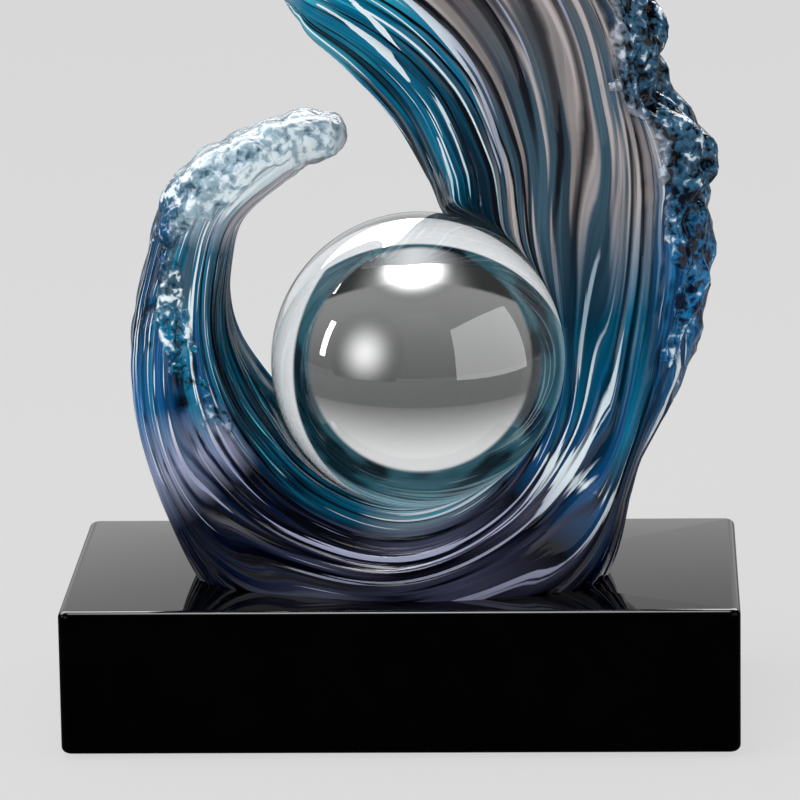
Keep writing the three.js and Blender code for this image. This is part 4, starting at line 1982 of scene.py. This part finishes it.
@dataclass
class Studio:
    """Pale floor, soft lamps, surroundings and camera.

    Lamps, cards and the size of the floor are in metres, and the camera and the drop of the floor in
    millimetres. Fields that end in span are the two ends of a smooth step on the direction of a ray.
    """

    target: Triple = (0.006, 0.0, 0.1)
    pale: float = 0.701
    floor_size: float = 8.0
    floor_drop: float = 0.2
    shade_share: float = 0.12
    room_dark: float = 0.06
    gloss_floor: float = 0.2
    ambient: float = 0.7
    backdrop_span: Span = (0.65, 0.9)
    backdrop_top_span: Span = (0.42, 0.55)
    in_glass: GlassSet = GlassSet()
    glow_sides: int = 48
    eye_target: Triple = (-0.703, 0.0, 85.565)
    eye_distance: float = 1568.13
    pitch: float = 13.069
    yaw: float = -2.383
    roll: float = -0.851
    focal_pixels: float = 5821.35
    picture_width: float = 800.0
    sensor_width: float = 36.0
    clip_start: float = 0.01
    lamps: tuple[Lamp, ...] = (
        Lamp("card_over", (-0.2, 0.71, 0.81), (2.2, 0.65), 10.0, Shows.ON_GLOSS),
        Lamp("card_right", (1.1, -0.62, 0.1), (1.5, 1.9), 1.5, Shows.ON_GLOSS),
        Lamp("lamp_round", (-0.75, -0.85, 0.4), (0.32, 0.32), 16.0, Shows.ON_MATT, True),
        Lamp("lamp_strip", (-1.0, -0.2, 0.4), (0.09, 0.4), 20.0),
        Lamp("lamp_over", (-0.1, 0.0, 1.2), (0.5, 0.5), 7.0, Shows.ON_MATT),
        Lamp("lamp_panel", (1.1, -0.62, 0.25), (0.5, 0.6), 1.5, Shows.ON_MATT),
    )
    glows: tuple[Glow, ...] = (
        Glow("glow_left", (-0.81, -0.92, 0.424), 0.75, 5.5),
        Glow("glow_over", (-0.05, -0.08, 1.2), 0.6, 34.0),
    )

    def build(self) -> None:
        """Builds the whole studio."""
        self._floor()
        self._surroundings()
        for lamp in self.lamps:
            self._hang(lamp)
        for glow in self.glows:
            self._glow(glow)
        self._camera()
        bpy.context.scene.view_settings.view_transform = "Standard"

    @staticmethod
    def _seen(nodes: Nodes) -> Signal:
        """1 for rays of the camera, of reflections and of glass."""
        total = nodes.ray("Is Camera Ray") + nodes.ray("Is Glossy Ray") + nodes.ray("Is Transmission Ray")
        return nodes.step(total, 0.0, 0.5)

    def _facing(self, place: Triple, axis: str) -> Euler:
        """Turn by which an axis of something at a place points at the object."""
        return (Vector(self.target) - Vector(place)).to_track_quat(axis, "Y").to_euler()

    def _floor(self) -> None:
        """Lays the pale floor, which keeps a part of the shadow."""
        Bench.clear()
        bpy.ops.mesh.primitive_plane_add(size=self.floor_size, location=(0.0, 0.0, -self.floor_drop * MM))
        floor = Bench.named("floor")
        material, nodes = new_material("pale_floor")
        lit = nodes.add("ShaderNodeBsdfDiffuse", None, {"Color": (self.pale, self.pale, self.pale, 1.0)})
        level = nodes.blend(nodes.ray("Is Glossy Ray"), self.pale, self.gloss_floor)
        plain = nodes.add("ShaderNodeEmission", None, {"Color": (1.0, 1.0, 1.0, 1.0), "Strength": level})
        share = self._seen(nodes) * (1.0 - self.shade_share)
        mixed = nodes.add("ShaderNodeMixShader", None, {0: share, 1: lit, 2: plain})
        nodes.add("ShaderNodeOutputMaterial", None, {"Surface": mixed})
        floor.data.materials.append(material)
        floor.visible_transmission = False

    def _surroundings(self) -> None:
        """Sets the room: a pale backdrop, a darker room behind the camera, and what glass shows."""
        world = bpy.data.worlds.new("studio")
        bpy.context.scene.world = world
        world.use_nodes = True
        nodes = Nodes(world.node_tree)
        way = nodes.add("ShaderNodeTexCoord", None, None, "Generated")
        behind = nodes.step(nodes.axis(way, "Y"), *self.backdrop_span)
        behind = behind * (1.0 - nodes.step(nodes.axis(way, "Z"), *self.backdrop_top_span))
        shown = nodes.blend(behind, self.room_dark, self.pale)
        room = nodes.blend(nodes.ray("Is Camera Ray"), shown, self.pale)
        level = nodes.blend(self._seen(nodes), self.ambient, room)
        colour = nodes.tint(nodes.ray("Is Transmission Ray"), level, self.in_glass.colour(nodes, way))
        light = nodes.add("ShaderNodeBackground", None, {"Color": colour})
        nodes.add("ShaderNodeOutputWorld", None, {"Surface": light})

    def _hang(self, lamp: Lamp) -> None:
        """Hangs a lamp that faces the object.

        Args:
            lamp: The lamp.
        """
        data = bpy.data.lights.new(lamp.name, "AREA")
        data.shape = "ELLIPSE" if lamp.round else "RECTANGLE"
        data.size, data.size_y = lamp.size
        area = lamp.size[0] * lamp.size[1] * (math.pi / 4.0 if lamp.round else 1.0)
        data.energy = lamp.radiance * math.pi * area
        made = bpy.data.objects.new(lamp.name, data)
        bpy.context.scene.collection.objects.link(made)
        made.location = lamp.place
        made.rotation_euler = self._facing(lamp.place, "-Z")
        made.visible_camera = False
        made.visible_diffuse, made.visible_glossy, made.visible_transmission = lamp.shows.value

    def _glow(self, glow: Glow) -> None:
        """Hangs a round card that fades to its edge, for reflections alone.

        Args:
            glow: The card.
        """
        Bench.clear()
        bpy.ops.mesh.primitive_circle_add(vertices=self.glow_sides, radius=glow.radius, fill_type="NGON")
        card = Bench.named(glow.name)
        card.location = glow.place
        card.rotation_euler = self._facing(glow.place, "Z")
        material, nodes = new_material(glow.name)
        away = nodes.add("ShaderNodeVectorMath", {"operation": "LENGTH"}, {0: nodes.place()}, "Value")
        fade = 1.0 - nodes.step(away, 0.0, glow.radius)
        strength = fade * fade * glow.radiance
        shine = nodes.add("ShaderNodeEmission", None, {"Color": (1.0, 1.0, 1.0, 1.0), "Strength": strength})
        nodes.add("ShaderNodeOutputMaterial", None, {"Surface": shine})
        card.data.materials.append(material)
        card.visible_camera = False
        card.visible_diffuse = False
        card.visible_transmission = False
        card.visible_shadow = False

    def _camera(self) -> None:
        """Places the camera at the viewing angle of the photograph."""
        pitch, yaw, roll = (math.radians(angle) for angle in (self.pitch, self.yaw, self.roll))
        ahead = Vector((math.sin(yaw) * math.cos(pitch), math.cos(yaw) * math.cos(pitch), -math.sin(pitch)))
        level = Vector((math.cos(yaw), -math.sin(yaw), 0.0))
        upright = level.cross(ahead)
        right = math.cos(roll) * level + math.sin(roll) * upright
        up = -math.sin(roll) * level + math.cos(roll) * upright
        eye = (Vector(self.eye_target) - ahead * self.eye_distance) * MM
        data = bpy.data.cameras.new("camera")
        data.sensor_width = self.sensor_width
        data.lens = self.sensor_width * self.focal_pixels / self.picture_width
        data.clip_start = self.clip_start
        made = bpy.data.objects.new("camera", data)
        bpy.context.scene.collection.objects.link(made)
        turn = Matrix((right, up, -ahead)).transposed().to_4x4()
        made.matrix_world = Matrix.Translation(eye) @ turn
        bpy.context.scene.camera = made


def build_sculpture() -> None:
    """Builds every piece of the sculpture and dresses it."""
    resin = TintedResin().material()
    Bench.dress(Wave().build(), resin, "base", "wave_casting", "tinted_resin")
    Bench.dress(Plinth().build(), PolishedBlack().material(), "base", "plinth", "black_resin")
    Bench.dress(Ball().build(), Crystal().material(), "ball", "crystal_ball", "crystal")
    steel = TurnedMetal("plated_steel").material()
    brass = TurnedMetal("cut_brass", colour=(0.6, 0.43, 0.17), shade=(0.42, 0.29, 0.1), pitch=0.6).material()
    for side in Side:
        name = side.name.lower()
        fixing = Fixing(side)
        Bench.dress(fixing.screw(), steel, "base", f"fixing_screw_{name}", "steel")
        Bench.dress(fixing.washer(), steel, "base", f"washer_{name}", "steel")
        Bench.dress(fixing.insert(), brass, "base", f"threaded_insert_{name}", "brass")
    felt = PressedFelt().material()
    for corner in Corner:
        Bench.dress(Pad(corner).build(), felt, "base", f"table_pad_{corner.name.lower()}", "felt")


def main() -> None:
    """Loads the frame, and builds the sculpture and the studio."""
    logging.basicConfig(level=logging.INFO, format="%(message)s")
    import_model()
    Studio().build()
    build_sculpture()


if __name__ == "__main__":
    main()
